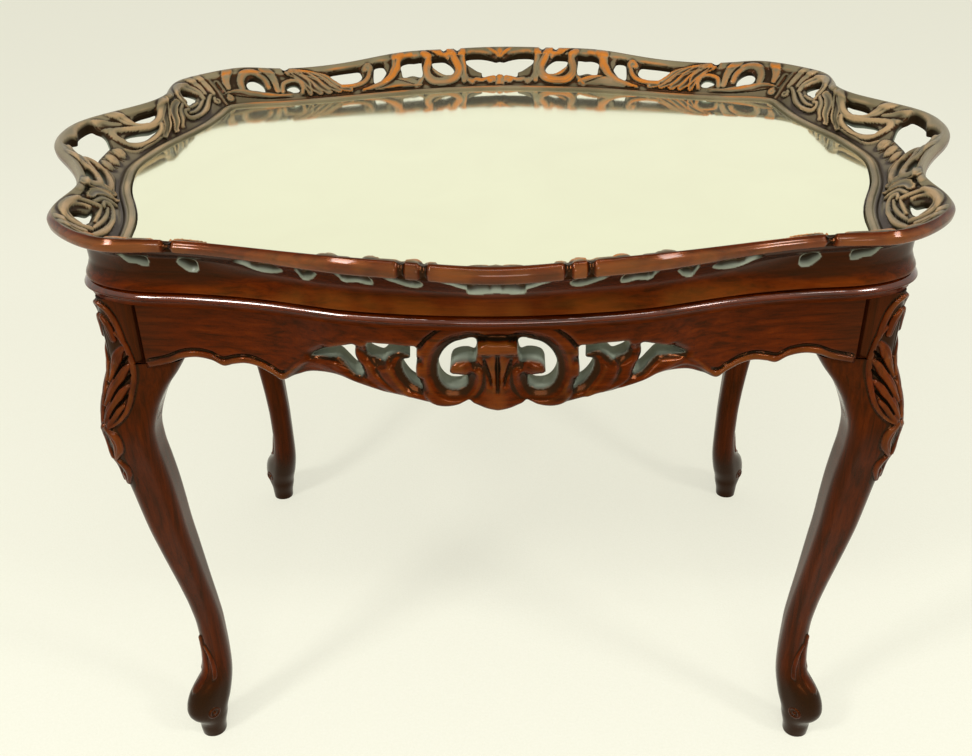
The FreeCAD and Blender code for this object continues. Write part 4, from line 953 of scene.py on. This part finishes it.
def build_leg(name, sizes):
    """The back right leg: shaft with a carved knee, post, and a scroll toe."""
    below = np.concatenate([np.arange(0, 125, 1.3), np.arange(125, 296, 2.6), np.arange(296, KNEE_TOP, 0.85),
                            [KNEE_TOP]])
    above = np.arange(KNEE_TOP, APRON_TOP + 0.01, 0.859375)
    table = np.array(LEG_SECTIONS, float)
    face, half = (smooth_steps(table[:, 0], table[:, k], below) for k in (1, 2))
    ease = between(below, 330, KNEE_TOP) ** 2 * 5.0
    corner = half * (0.55 + 0.4 * between(below, 230, 90))
    corner += (POST_CORNER - corner) * between(below, 385, KNEE_TOP)
    z = np.concatenate([below, above])
    half, corner, outer_x, outer_y = (
        np.concatenate([shaft, np.full(len(above), post)])
        for shaft, post in ((half, POST / 2), (corner, POST_CORNER), (FOOT_X + face, POST_X),
                            (FOOT_Y + face - ease, POST_Y)))
    # Close points over the carved arris, wide ones round the plain inner side.
    fractions = np.concatenate([np.linspace(0, 0.45, 71), np.linspace(0.45, 1, 24)[1:]])
    u, v, run = section_ring(half[:, None], corner[:, None], fractions)
    middle = np.stack([outer_x - half, outer_y - half, z], -1)[:, None]
    run = np.concatenate([run, run[:, -2:0:-1]], 1)
    high = np.repeat(z[:, None], run.shape[1], 1)
    # The second half of the ring is the first with x and y swapped, backwards.
    away = np.stack([np.concatenate([u, v[:, -2:0:-1]], 1), np.concatenate([v, u[:, -2:0:-1]], 1),
                     np.zeros_like(high)], -1)
    grid = middle + away
    wrap = np.concatenate([grid[:, -1:], grid, grid[:, :1]], 1)
    normals = np.concatenate([grid_normals(wrap[:len(below)]), grid_normals(wrap[len(below):])])[:, 1:-1]
    normals = normals * np.sign(np.sum(normals * away, -1, keepdims=True))
    height = carve(LEG_CUTS, run, high) * sizes.relief * between(high, APRON_TOP, APRON_TOP - 2)
    crest, hollow = crest_and_hollow(height, FAR_OFF)
    # Painted shade: the ground between the petals is darkened over its old polish, and the plain wood all
    # over, most at the knee; it is darker still towards the foot.
    band = np.interp(high, [300, 312, 340, 372, 400, 445, 476], [0, 8, 10, 10, 19, 14, 4])
    bare = between(run, band, band - 2) * between(height, 1, 0)
    shade = 0.215 + 0.08 * between(high, 372, 402)
    plain = np.where(height < 0.4, shade, 0.0) + 0.36 * between(high, 84, 48)
    hollow = np.maximum(np.maximum(hollow, 0.8 * bare), plain)
    grid = grid + normals * height[..., None]
    toe = np.array(TOE, float)
    roll = smooth_steps(toe[:, 0], toe[:, 1], np.clip(z, toe[0, 0], toe[-1, 0]))
    # The toe rolls out along the diagonal, most at the arris: outward is the cosine from there.
    outward = away.sum(-1) / np.maximum(np.linalg.norm(away, axis=-1) * math.sqrt(2), TINY)
    push = roll[:, None] * np.clip(outward, 0, 1) ** 0.38 * math.sqrt(0.5)
    grid[..., :2] += push[..., None]
    ids = np.arange(high.size).reshape(high.shape)
    right = np.roll(ids, -1, 1)
    quads = np.stack([ids[:-1], right[:-1], right[1:], ids[1:]], -1).reshape(-1, 4)
    fields = {"crest": 0.6 * crest.ravel(), "hollow": hollow.ravel(), "polished": 0.15 * crest.ravel()}
    obj = make_mesh(name, grid.reshape(-1, 3), quads, [ids[0][::-1], ids[-1]], fields)
    extras = toe_scroll()
    select_only(obj)
    for extra in extras:
        extra.select_set(True)
    bpy.ops.object.join()
    tidy_mesh(obj, 50.0)
    return obj


def toe_scroll():
    """The line and the eye of the toe's scroll, on both its sides."""
    along = Vector((1, -1, 0)).normalized()
    out = Vector((1, 1, 0)).normalized()
    foot = Vector((FOOT_X, FOOT_Y, 0.0))
    turn = along.to_track_quat("Z", "Y").to_euler()
    made = []

    def add(kind, at, **settings):
        bpy.ops.object.select_all(action="DESELECT")
        getattr(bpy.ops.mesh, kind)(location=at * MM, rotation=turn, **settings)
        piece = bpy.context.object
        select_only(piece)
        bpy.ops.object.transform_apply(location=True, rotation=True, scale=True)
        # Both pieces get some rubbed colour and some painted shade.
        store_fields(piece.data, {"crest": 0.3, "hollow": 0.3})
        made.append(piece)

    for side in (1, -1):
        eye = foot + out * 0.5 + Vector((0, 0, 34.0)) + along * (side * 13.3)
        add("primitive_torus_add", eye, major_segments=40, minor_segments=12,
            major_radius=0.0050, minor_radius=0.0019)
        add("primitive_uv_sphere_add", eye - along * (side * 0.4), segments=24, ring_count=14, radius=0.0028)
    return made


# ---------------------------------------------------------------- materials

NOISE, RAMP, BUMP = "ShaderNodeTexNoise", "ShaderNodeValToRGB", "ShaderNodeBump"
MIX, MATH, FIELD = "ShaderNodeMix", "ShaderNodeMath", "ShaderNodeAttribute"
BLEND = {"data_type": "RGBA"}
DARKEN = {"data_type": "RGBA", "blend_type": "MULTIPLY"}
TIMES = {"operation": "MULTIPLY"}
# Shader inputs of French polish: old shellac mirrors a little less than new and is amber, so that
# it warms what it mirrors.
SHELLAC = {"IOR": 1.5, "Specular IOR Level": 0.24, "Specular Tint": linear("FF8A34"), "Coat Roughness": 0.08}


def fill(node, settings):
    """Sets a node's properties and gives its inputs values or links; stops are a ramp's colours."""
    for key, value in settings.items():
        if key == "stops":
            bar = node.color_ramp.elements
            while len(bar) < len(value):
                bar.new(0.5)
            for element, (place, colour) in zip(bar, value):
                element.position, element.color = place, colour
        elif isinstance(key, str) and key not in node.inputs:
            setattr(node, key, value)
        elif isinstance(value, bpy.types.NodeSocket):
            node.id_data.links.new(value, node.inputs[key])
        else:
            node.inputs[key].default_value = value


def add_node(tree, kind, settings, out=0):
    """Adds a node with its settings and links, and returns one of its outputs."""
    node = tree.nodes.new(kind)
    fill(node, settings)
    return node.outputs[out]


def material(name, recipe, *details):
    """The material of that name; on first use the recipe says what its shader's inputs take."""
    mat = bpy.data.materials.get(name)
    if mat is None:
        mat = bpy.data.materials.new(name)
        mat.use_nodes = True
        place = add_node(mat.node_tree, "ShaderNodeTexCoord", {}, "Object")
        fill(mat.node_tree.nodes["Principled BSDF"], recipe(mat.node_tree, place, *details))
    return mat


def grey(level):
    return (level, level, level, 1.0)


def drawn_out(tree, place, along, scale, lengthwise, settings):
    """Noise drawn out along one axis; the scales, across it and along it, are cycles a metre."""
    stretch = [scale] * 3
    stretch[along] = lengthwise
    at = add_node(tree, "ShaderNodeMapping", {"Scale": stretch, "Vector": place})
    return add_node(tree, NOISE, {"Scale": 1.0, "Vector": at, **settings})


def mahogany(tree, place, along, carved, colours, worn):
    """Mahogany, French polished: close straight grain, short dark pores, deep gloss.

    along is the axis of the grain. A carved piece also shows rubbed crests, hollows darkened by painted shade
    over old polish, dull wax on its inner face, and unpolished walls in its openings with painted shade and
    painted light, lighter away from the face."""
    # Grain streaks are about 4 mm wide and 90 mm long; pores are drawn 0.9 mm by 7 mm.
    grain = drawn_out(tree, place, along, 250.0, 11.0, {"Detail": 5.0, "Roughness": 0.6, "Distortion": 0.4})
    pores = drawn_out(tree, place, along, 1100.0, 150.0, {"Detail": 2.0, "Roughness": 0.5})
    # Darker patches are about 70 mm across.
    patch = add_node(tree, NOISE, {"Scale": 14.0, "Detail": 3.0, "Roughness": 0.55, "Vector": place})
    tone = add_node(tree, RAMP, {"Fac": grain, "stops": [
        (0.32, linear(colours.wood_dark)), (0.55, linear(colours.wood)), (0.78, linear(colours.wood_light))]})
    pore_mask = add_node(tree, RAMP, {"Fac": pores, "stops": [(0.30, grey(0.0)), (0.44, grey(1.0))]})
    colour = add_node(tree, MIX, {**DARKEN, 0: 0.3, 6: tone, 7: pore_mask}, 2)
    patch_mask = add_node(tree, RAMP, {"Fac": patch, "stops": [
        (0.35, (0.62, 0.56, 0.50, 1)), (0.65, grey(1.0))]})
    colour = add_node(tree, MIX, {**DARKEN, 0: 0.6, 6: colour, 7: patch_mask}, 2)
    rough = add_node(tree, RAMP, {"Fac": patch, "stops": [(0.3, grey(0.23)), (0.7, grey(0.13))]})
    if carved:
        crest, hollow, waxed, wall, wall_light = (
            add_node(tree, FIELD, {"attribute_name": key}, "Fac")
            for key in ("crest", "hollow", "waxed", "cut_wall", "wall_light"))
        wax = add_node(tree, RAMP, {"Fac": patch, "stops": [
            (0.38, linear(colours.waxed)), (0.62, linear(colours.waxed_light))]})
        waxing = add_node(tree, MATH, {**TIMES, 0: waxed, 1: 0.9})
        colour = add_node(tree, MIX, {**BLEND, 0: waxing, 6: colour, 7: wax}, 2)
        # The wax is rubbed through in patches about 40 mm across.
        through = add_node(tree, NOISE, {"Scale": 24.0, "Detail": 2.0, "Vector": place})
        through = add_node(tree, RAMP, {"Fac": through, "stops": [(0.40, grey(0.35)), (0.58, grey(1.0))]})
        rub = add_node(tree, MATH, {**TIMES, 0: crest, 1: through})
        rub = add_node(tree, RAMP, {"Fac": rub, "stops": [(0.12, grey(0.0)), (0.62, grey(0.92))]})
        share = add_node(tree, RAMP, {"Fac": waxed, "stops": [(0.0, grey(0.14)), (1.0, grey(1.0))]})
        rub = add_node(tree, MATH, {**TIMES, 0: rub, 1: share})
        colour = add_node(tree, MIX, {**BLEND, 0: rub, 6: colour, 7: linear(worn)}, 2)
        # Painted shade: the hollow field darkens the wood towards the hollow colour.
        deep = add_node(tree, RAMP, {"Fac": hollow, "stops": [(0.05, grey(0.0)), (0.50, grey(0.96))]})
        colour = add_node(tree, MIX, {**BLEND, 0: deep, 6: colour, 7: linear(colours.hollow)}, 2)
        # Walls of the openings, from painted shade over old polish to bare wood with painted light.
        shades = {6: linear(colours.wall_polish_and_shade), 7: linear(colours.wall)}
        wall_colour = add_node(tree, MIX, {**BLEND, 0: wall_light, **shades}, 2)
        wall_colour = add_node(tree, MIX, {**DARKEN, 0: patch, 6: wall_colour, 7: grey(0.75)}, 2)
        colour = add_node(tree, MIX, {**BLEND, 0: wall, 6: colour, 7: wall_colour}, 2)
        dull = add_node(tree, MATH, {**TIMES, 0: waxed, 1: 0.8})
        rough = add_node(tree, MIX, {**BLEND, 0: dull, 6: rough, 7: grey(0.40)}, 2)
        rough = add_node(tree, MIX, {**BLEND, 0: wall, 6: rough, 7: grey(0.75)}, 2)
    # Edges that hands and cloths pass over are the brightest.
    polished = add_node(tree, FIELD, {"attribute_name": "polished"}, "Fac")
    coat = add_node(tree, RAMP, {"Fac": polished, "stops": [(0.0, grey(0.03)), (1.0, grey(1.0))]})
    relief = add_node(tree, BUMP, {"Strength": 0.12, "Distance": 0.0004, "Height": pores})
    return {"Base Color": colour, "Roughness": rough, "Coat Weight": coat, "Normal": relief, **SHELLAC}


def bare_wood(tree, place, along, light, dark, rough):
    """A plain secondary wood, planed and left bare: faint straight figure, dull."""
    # The figure's streaks are about 3 mm wide and 70 mm long.
    figure = drawn_out(tree, place, along, 320.0, 14.0, {"Detail": 6.0, "Roughness": 0.62})
    tone = add_node(tree, RAMP, {"Fac": figure, "stops": [(0.30, linear(dark)), (0.70, linear(light))]})
    relief = add_node(tree, BUMP, {"Strength": 0.2, "Distance": 0.0003, "Height": figure})
    return {"Base Color": tone, "Roughness": rough, "Normal": relief}


def dull_steel(tree, place):
    """Plain wood screws of turned steel, dulled: fine turning marks, grey."""
    # Turning marks are drawn about 1 mm apart, coarser than real ones, so that they show.
    marks = add_node(tree, NOISE, {"Scale": 900.0, "Detail": 3.0, "Vector": place})
    tone = add_node(tree, RAMP, {"Fac": marks, "stops": [(0.3, linear("8A857C")), (0.7, linear("B4AFA6"))]})
    return {"Base Color": tone, "Metallic": 1.0, "Roughness": 0.42}


def silvered_glass(tree, place, colours):
    """Float glass silvered on its back, with a pale cast: a near mirror with faint smears."""
    # The smears are about 110 mm across.
    smears = add_node(tree, NOISE, {"Scale": 9.0, "Detail": 4.0, "Distortion": 0.8, "Vector": place})
    rough = add_node(tree, RAMP, {"Fac": smears, "stops": [(0.35, grey(0.05)), (0.75, grey(0.12))]})
    tint = add_node(tree, RAMP, {"Fac": smears, "stops": [
        (0.2, linear("E8EACD")), (0.8, linear(colours.glass))]})
    return {"Base Color": tint, "Roughness": rough, "Metallic": 0.9}


def pale_carpet(tree, place, colours):
    """Short pile carpet, pale: a soft matt ground that looks plain white to the camera and in mirrors."""
    # Tufts are about 2.4 mm across.
    pile = add_node(tree, NOISE, {"Scale": 420.0, "Detail": 4.0, "Vector": place})
    tone = add_node(tree, RAMP, {"Fac": pile, "stops": [
        (0.3, linear("EFEEDA")), (0.7, linear(colours.floor))]})
    relief = add_node(tree, BUMP, {"Strength": 0.3, "Distance": 0.001, "Height": pile})
    # Partly plain white to the camera and to mirrors, so that it stays pale and keeps the shadows.
    white = add_node(tree, "ShaderNodeEmission", {"Color": linear("FDFCEA"), "Strength": 1.0})
    share = add_node(tree, MATH, {**TIMES, 0: seen_directly(tree), 1: 0.6})
    shader = tree.nodes["Principled BSDF"].outputs[0]
    surface = add_node(tree, "ShaderNodeMixShader", {"Fac": share, 1: shader, 2: white})
    fill(tree.nodes["Material Output"], {"Surface": surface})
    return {"Base Color": tone, "Roughness": 0.95, "Specular IOR Level": 0.2, "Normal": relief}


def seen_directly(tree):
    """1 where the camera or a mirror looks at a surface, 0 where only its light arrives."""
    rays = add_node(tree, "ShaderNodeLightPath", {}).node.outputs
    return add_node(tree, MATH, {"operation": "MAXIMUM", 0: rays["Is Camera Ray"], 1: rays["Is Glossy Ray"]})


def dress(obj, mat):
    """Gives an object one material in all its slots."""
    if not obj.material_slots:
        obj.data.materials.append(mat)
    for slot in obj.material_slots:
        slot.material = mat


# ---------------------------------------------------------------- operators

def finish_pieces(pieces, body, finish, carved, colours, worn=None):
    """Gives each new piece its mahogany, its body and the CAD node it stands in for.

    pieces are (object, CAD node, axis of the grain); worn is the colour of the rubbed edges by
    axis, where it isn't the same for all; the ends' greyer one is wear with painted pale reflection."""
    for obj, node, axis in pieces:
        edges = worn[axis] if worn else colours.worn
        dress(obj, material(f"{finish}_{'xyz'[axis]}", mahogany, axis, carved, colours, edges))
        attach(obj, body)
        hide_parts(node)


class CarvedGallery(bpy.types.Operator):
    """Builds the four carved and pierced sides of the tray's gallery"""
    bl_idname = "tea_table.gallery"
    bl_label = "Carved gallery"

    def execute(self, context):
        sizes, colours = context.scene.tea_table_sizes, context.scene.tea_table_colours
        long_half = np.interp(MITRE, FINE_T, ARC)
        end_half = np.interp(END, FINE_T, ARC) - long_half
        long_holes = [whole_opening(HEART)] + LONG_HOLES + [mirror_loop(h) for h in LONG_HOLES]
        end_holes = [whole_opening(HANDHOLD)] + END_HOLES + [mirror_loop(h) for h in END_HOLES]
        front = build_gallery("gallery_front_carved", 0, long_half, both_sides(LONG_CUTS), LONG_NOTCHES,
                              long_holes, sizes.fullness, WAX_TOP, sizes)
        back = mirrored_copy(front, "gallery_back_carved", 1)
        # On the ends the grey wax colour reaches 8 mm higher, over the rim, as painted pale reflection.
        right = build_gallery("gallery_right_carved", END, end_half, both_sides(END_CUTS), [], end_holes,
                              0.86 * sizes.fullness, WAX_TOP + 8, sizes)
        left = mirrored_copy(right, "gallery_left_carved", 0)
        pieces = [(front, "gallery_front", 0), (back, "gallery_back", 0),
                  (right, "gallery_right", 1), (left, "gallery_left", 1)]
        worn = (colours.worn, colours.worn_ends_and_sheen)
        finish_pieces(pieces, "tray", "mahogany_old_wax_carved", True, colours, worn)
        return {"FINISHED"}


class TopRails(bpy.types.Operator):
    """Builds the four moulded top rails of the base"""
    bl_idname = "tea_table.rails"
    bl_label = "Top rails"

    def execute(self, context):
        colours = context.scene.tea_table_colours
        front = build_rail("frame_rail_front_moulded", -MITRE, MITRE, 1)
        right = build_rail("frame_rail_right_moulded", MITRE, 2 * END - MITRE, 0)
        back = mirrored_copy(front, "frame_rail_back_moulded", 1)
        left = mirrored_copy(right, "frame_rail_left_moulded", 0)
        pieces = [(front, "frame_rail_front", 0), (back, "frame_rail_back", 0),
                  (right, "frame_rail_right", 1), (left, "frame_rail_left", 1)]
        finish_pieces(pieces, "table_base", "mahogany_french_polished", False, colours)
        return {"FINISHED"}


class ShapedAprons(bpy.types.Operator):
    """Builds the four aprons with their carved centres and shaped lower edges"""
    bl_idname = "tea_table.aprons"
    bl_label = "Shaped aprons"

    def execute(self, context):
        sizes = context.scene.tea_table_sizes
        holes = APRON_HOLES + [mirror_loop(h) for h in APRON_HOLES]
        back = build_apron("apron_back_carved", 0, LONG_FACE, LONG_EDGE, 273.0, holes, APRON_SCOOPS,
                           both_sides(APRON_CUTS), sizes)
        front = mirrored_copy(back, "apron_front_carved", 1)
        right = build_apron("apron_right_shaped", 1, END_FACE, END_EDGE, 175.0, [], [], [], sizes)
        left = mirrored_copy(right, "apron_left_shaped", 0)
        pieces = [(back, "apron_back", 0), (front, "apron_front", 0),
                  (right, "apron_right", 1), (left, "apron_left", 1)]
        finish_pieces(pieces, "table_base", "mahogany_french_polished_carved", True,
                      context.scene.tea_table_colours)
        return {"FINISHED"}


class CabrioleLegs(bpy.types.Operator):
    """Builds the four cabriole legs with carved knees and scroll toes"""
    bl_idname = "tea_table.legs"
    bl_label = "Cabriole legs"

    def execute(self, context):
        right = build_leg("leg_back_right_carved", context.scene.tea_table_sizes)
        left = mirrored_copy(right, "leg_back_left_carved", 0)
        front_right = mirrored_copy(right, "leg_front_right_carved", 1)
        front_left = mirrored_copy(left, "leg_front_left_carved", 1)
        pieces = [(right, "leg_back_right", 2), (left, "leg_back_left", 2),
                  (front_right, "leg_front_right", 2), (front_left, "leg_front_left", 2)]
        finish_pieces(pieces, "table_base", "mahogany_french_polished_carved", True,
                      context.scene.tea_table_colours)
        return {"FINISHED"}


class PlainPieces(bpy.types.Operator):
    """Gives the panel, glass, blocks and screws their finishes"""
    bl_idname = "tea_table.plain_pieces"
    bl_label = "Glass and hidden pieces"

    def execute(self, context):
        colours = context.scene.tea_table_colours
        for node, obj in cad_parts.items():
            if node == "tray_panel":
                mat = material("mahogany_french_polished_x", mahogany, 0, False, colours, colours.worn)
            elif node == "glass_insert":
                mat = material("silvered_float_glass", silvered_glass, colours)
            elif node.endswith("screws"):
                mat = material("turned_steel_dulled", dull_steel)
            elif node in ("apron_dowels", "mitre_splines"):
                mat = material("beech_turned", bare_wood, 0, "C9A06E", "A87C4C", 0.7)
            else:
                axis = int(node in ("cross_bearer", "tray_cleat_left", "tray_cleat_right"))
                mat = material(f"poplar_planed_{'xy'[axis]}", bare_wood, axis, "B08A58", "7E5C34", 0.75)
            dress(obj, mat)
        return {"FINISHED"}


# Label, place, watts, and the two sides of each lamp, in metres.
LAMPS = [("key", (-1.3, -1.3, 1.9), 20.0, (0.35, 0.35)), ("fill", (1.5, -1.1, 1.8), 14.0, (0.35, 0.35)),
         ("strip", (0.0, -1.25, 2.2), 16.0, (2.4, 0.10)), ("front", (0.2, -3.6, 1.75), 36.0, (1.6, 0.8))]
LIT_AT = Vector((0, 0, 0.35))


class Studio(bpy.types.Operator):
    """Sets up the pale floor, the lamps, the white world and the camera"""
    bl_idname = "tea_table.studio"
    bl_label = "Studio"

    def execute(self, context):
        bpy.ops.object.select_all(action="DESELECT")
        bpy.ops.mesh.primitive_circle_add(vertices=96, radius=9.0, fill_type="NGON", location=(0, 0, -0.0005))
        floor = context.object
        floor.name = "studio_floor"
        select_only(floor)
        bpy.ops.object.transform_apply(location=True, rotation=True, scale=True)
        dress(floor, material("short_pile_carpet", pale_carpet, context.scene.tea_table_colours))
        world = bpy.data.worlds.new("studio_white")
        context.scene.world = world
        world.use_nodes = True
        tree = world.node_tree
        # White to look at, but a softer source of light.
        strength = add_node(tree, "ShaderNodeMapRange", {"To Min": 0.48, "To Max": 1.0,
                                                         "Value": seen_directly(tree)})
        fill(tree.nodes["Background"], {"Color": linear("FFFDF4"), "Strength": strength})
        for label, place, power, (across_it, high) in LAMPS:
            bpy.ops.object.select_all(action="DESELECT")
            bpy.ops.object.light_add(type="AREA", location=place)
            lamp = context.object
            lamp.name = f"studio_{label}"
            lamp.data.energy = power
            lamp.data.shape = "RECTANGLE"
            lamp.data.size, lamp.data.size_y = across_it, high
            lamp.rotation_euler = (LIT_AT - Vector(place)).to_track_quat("-Z", "Y").to_euler()
        add_camera(context)
        return {"FINISHED"}


def add_camera(context):
    """The camera, about a metre in front of the tray and above it, looking down at the table."""
    data = bpy.data.cameras.new("studio_camera")
    camera = bpy.data.objects.new("studio_camera", data)
    context.scene.collection.objects.link(camera)
    data.sensor_width = 36.0
    data.lens = 39.603
    eye = Vector((0.00841, -0.92406, 0.82950))
    yaw, pitch, roll = math.radians(-1.4524), math.radians(30.471), math.radians(-1.1063)
    ahead = Vector((math.sin(yaw) * math.cos(pitch), math.cos(yaw) * math.cos(pitch), -math.sin(pitch)))
    level = ahead.cross(Vector((0, 0, 1))).normalized()
    above = level.cross(ahead)
    right = level * math.cos(roll) + above * math.sin(roll)
    up = above * math.cos(roll) - level * math.sin(roll)
    turn = Matrix((right, up, -ahead)).transposed().to_4x4()
    camera.matrix_world = Matrix.Translation(eye) @ turn
    context.scene.camera = camera
    context.scene.view_settings.view_transform = "Standard"


STEPS = (CarvedGallery, TopRails, ShapedAprons, CabrioleLegs, PlainPieces, Studio)


class TeaTablePanel(bpy.types.Panel):
    """Sizes, colours and buttons that build the tea table's pieces"""
    bl_idname = "VIEW3D_PT_tea_table"
    bl_label = "Tea Table"
    bl_space_type = "VIEW_3D"
    bl_region_type = "UI"
    bl_category = "Tea Table"

    def draw(self, context):
        for kind, group in ((TeaTableSizes, context.scene.tea_table_sizes),
                            (TeaTableColours, context.scene.tea_table_colours)):
            for name in kind.__annotations__:
                self.layout.prop(group, name)
        for step in STEPS:
            self.layout.operator(step.bl_idname)


CLASSES = (TeaTableSizes, TeaTableColours) + STEPS + (TeaTablePanel,)


def register():
    for cls in CLASSES:
        bpy.utils.register_class(cls)
    bpy.types.Scene.tea_table_sizes = bpy.props.PointerProperty(type=TeaTableSizes)
    bpy.types.Scene.tea_table_colours = bpy.props.PointerProperty(type=TeaTableColours)


def unregister():
    del bpy.types.Scene.tea_table_colours
    del bpy.types.Scene.tea_table_sizes
    for cls in reversed(CLASSES):
        bpy.utils.unregister_class(cls)


def main():
    register()
    bpy.ops.tea_table.gallery()
    bpy.ops.tea_table.rails()
    bpy.ops.tea_table.aprons()
    bpy.ops.tea_table.legs()
    bpy.ops.tea_table.plain_pieces()
    bpy.ops.tea_table.studio()


if __name__ == "__main__":
    main()
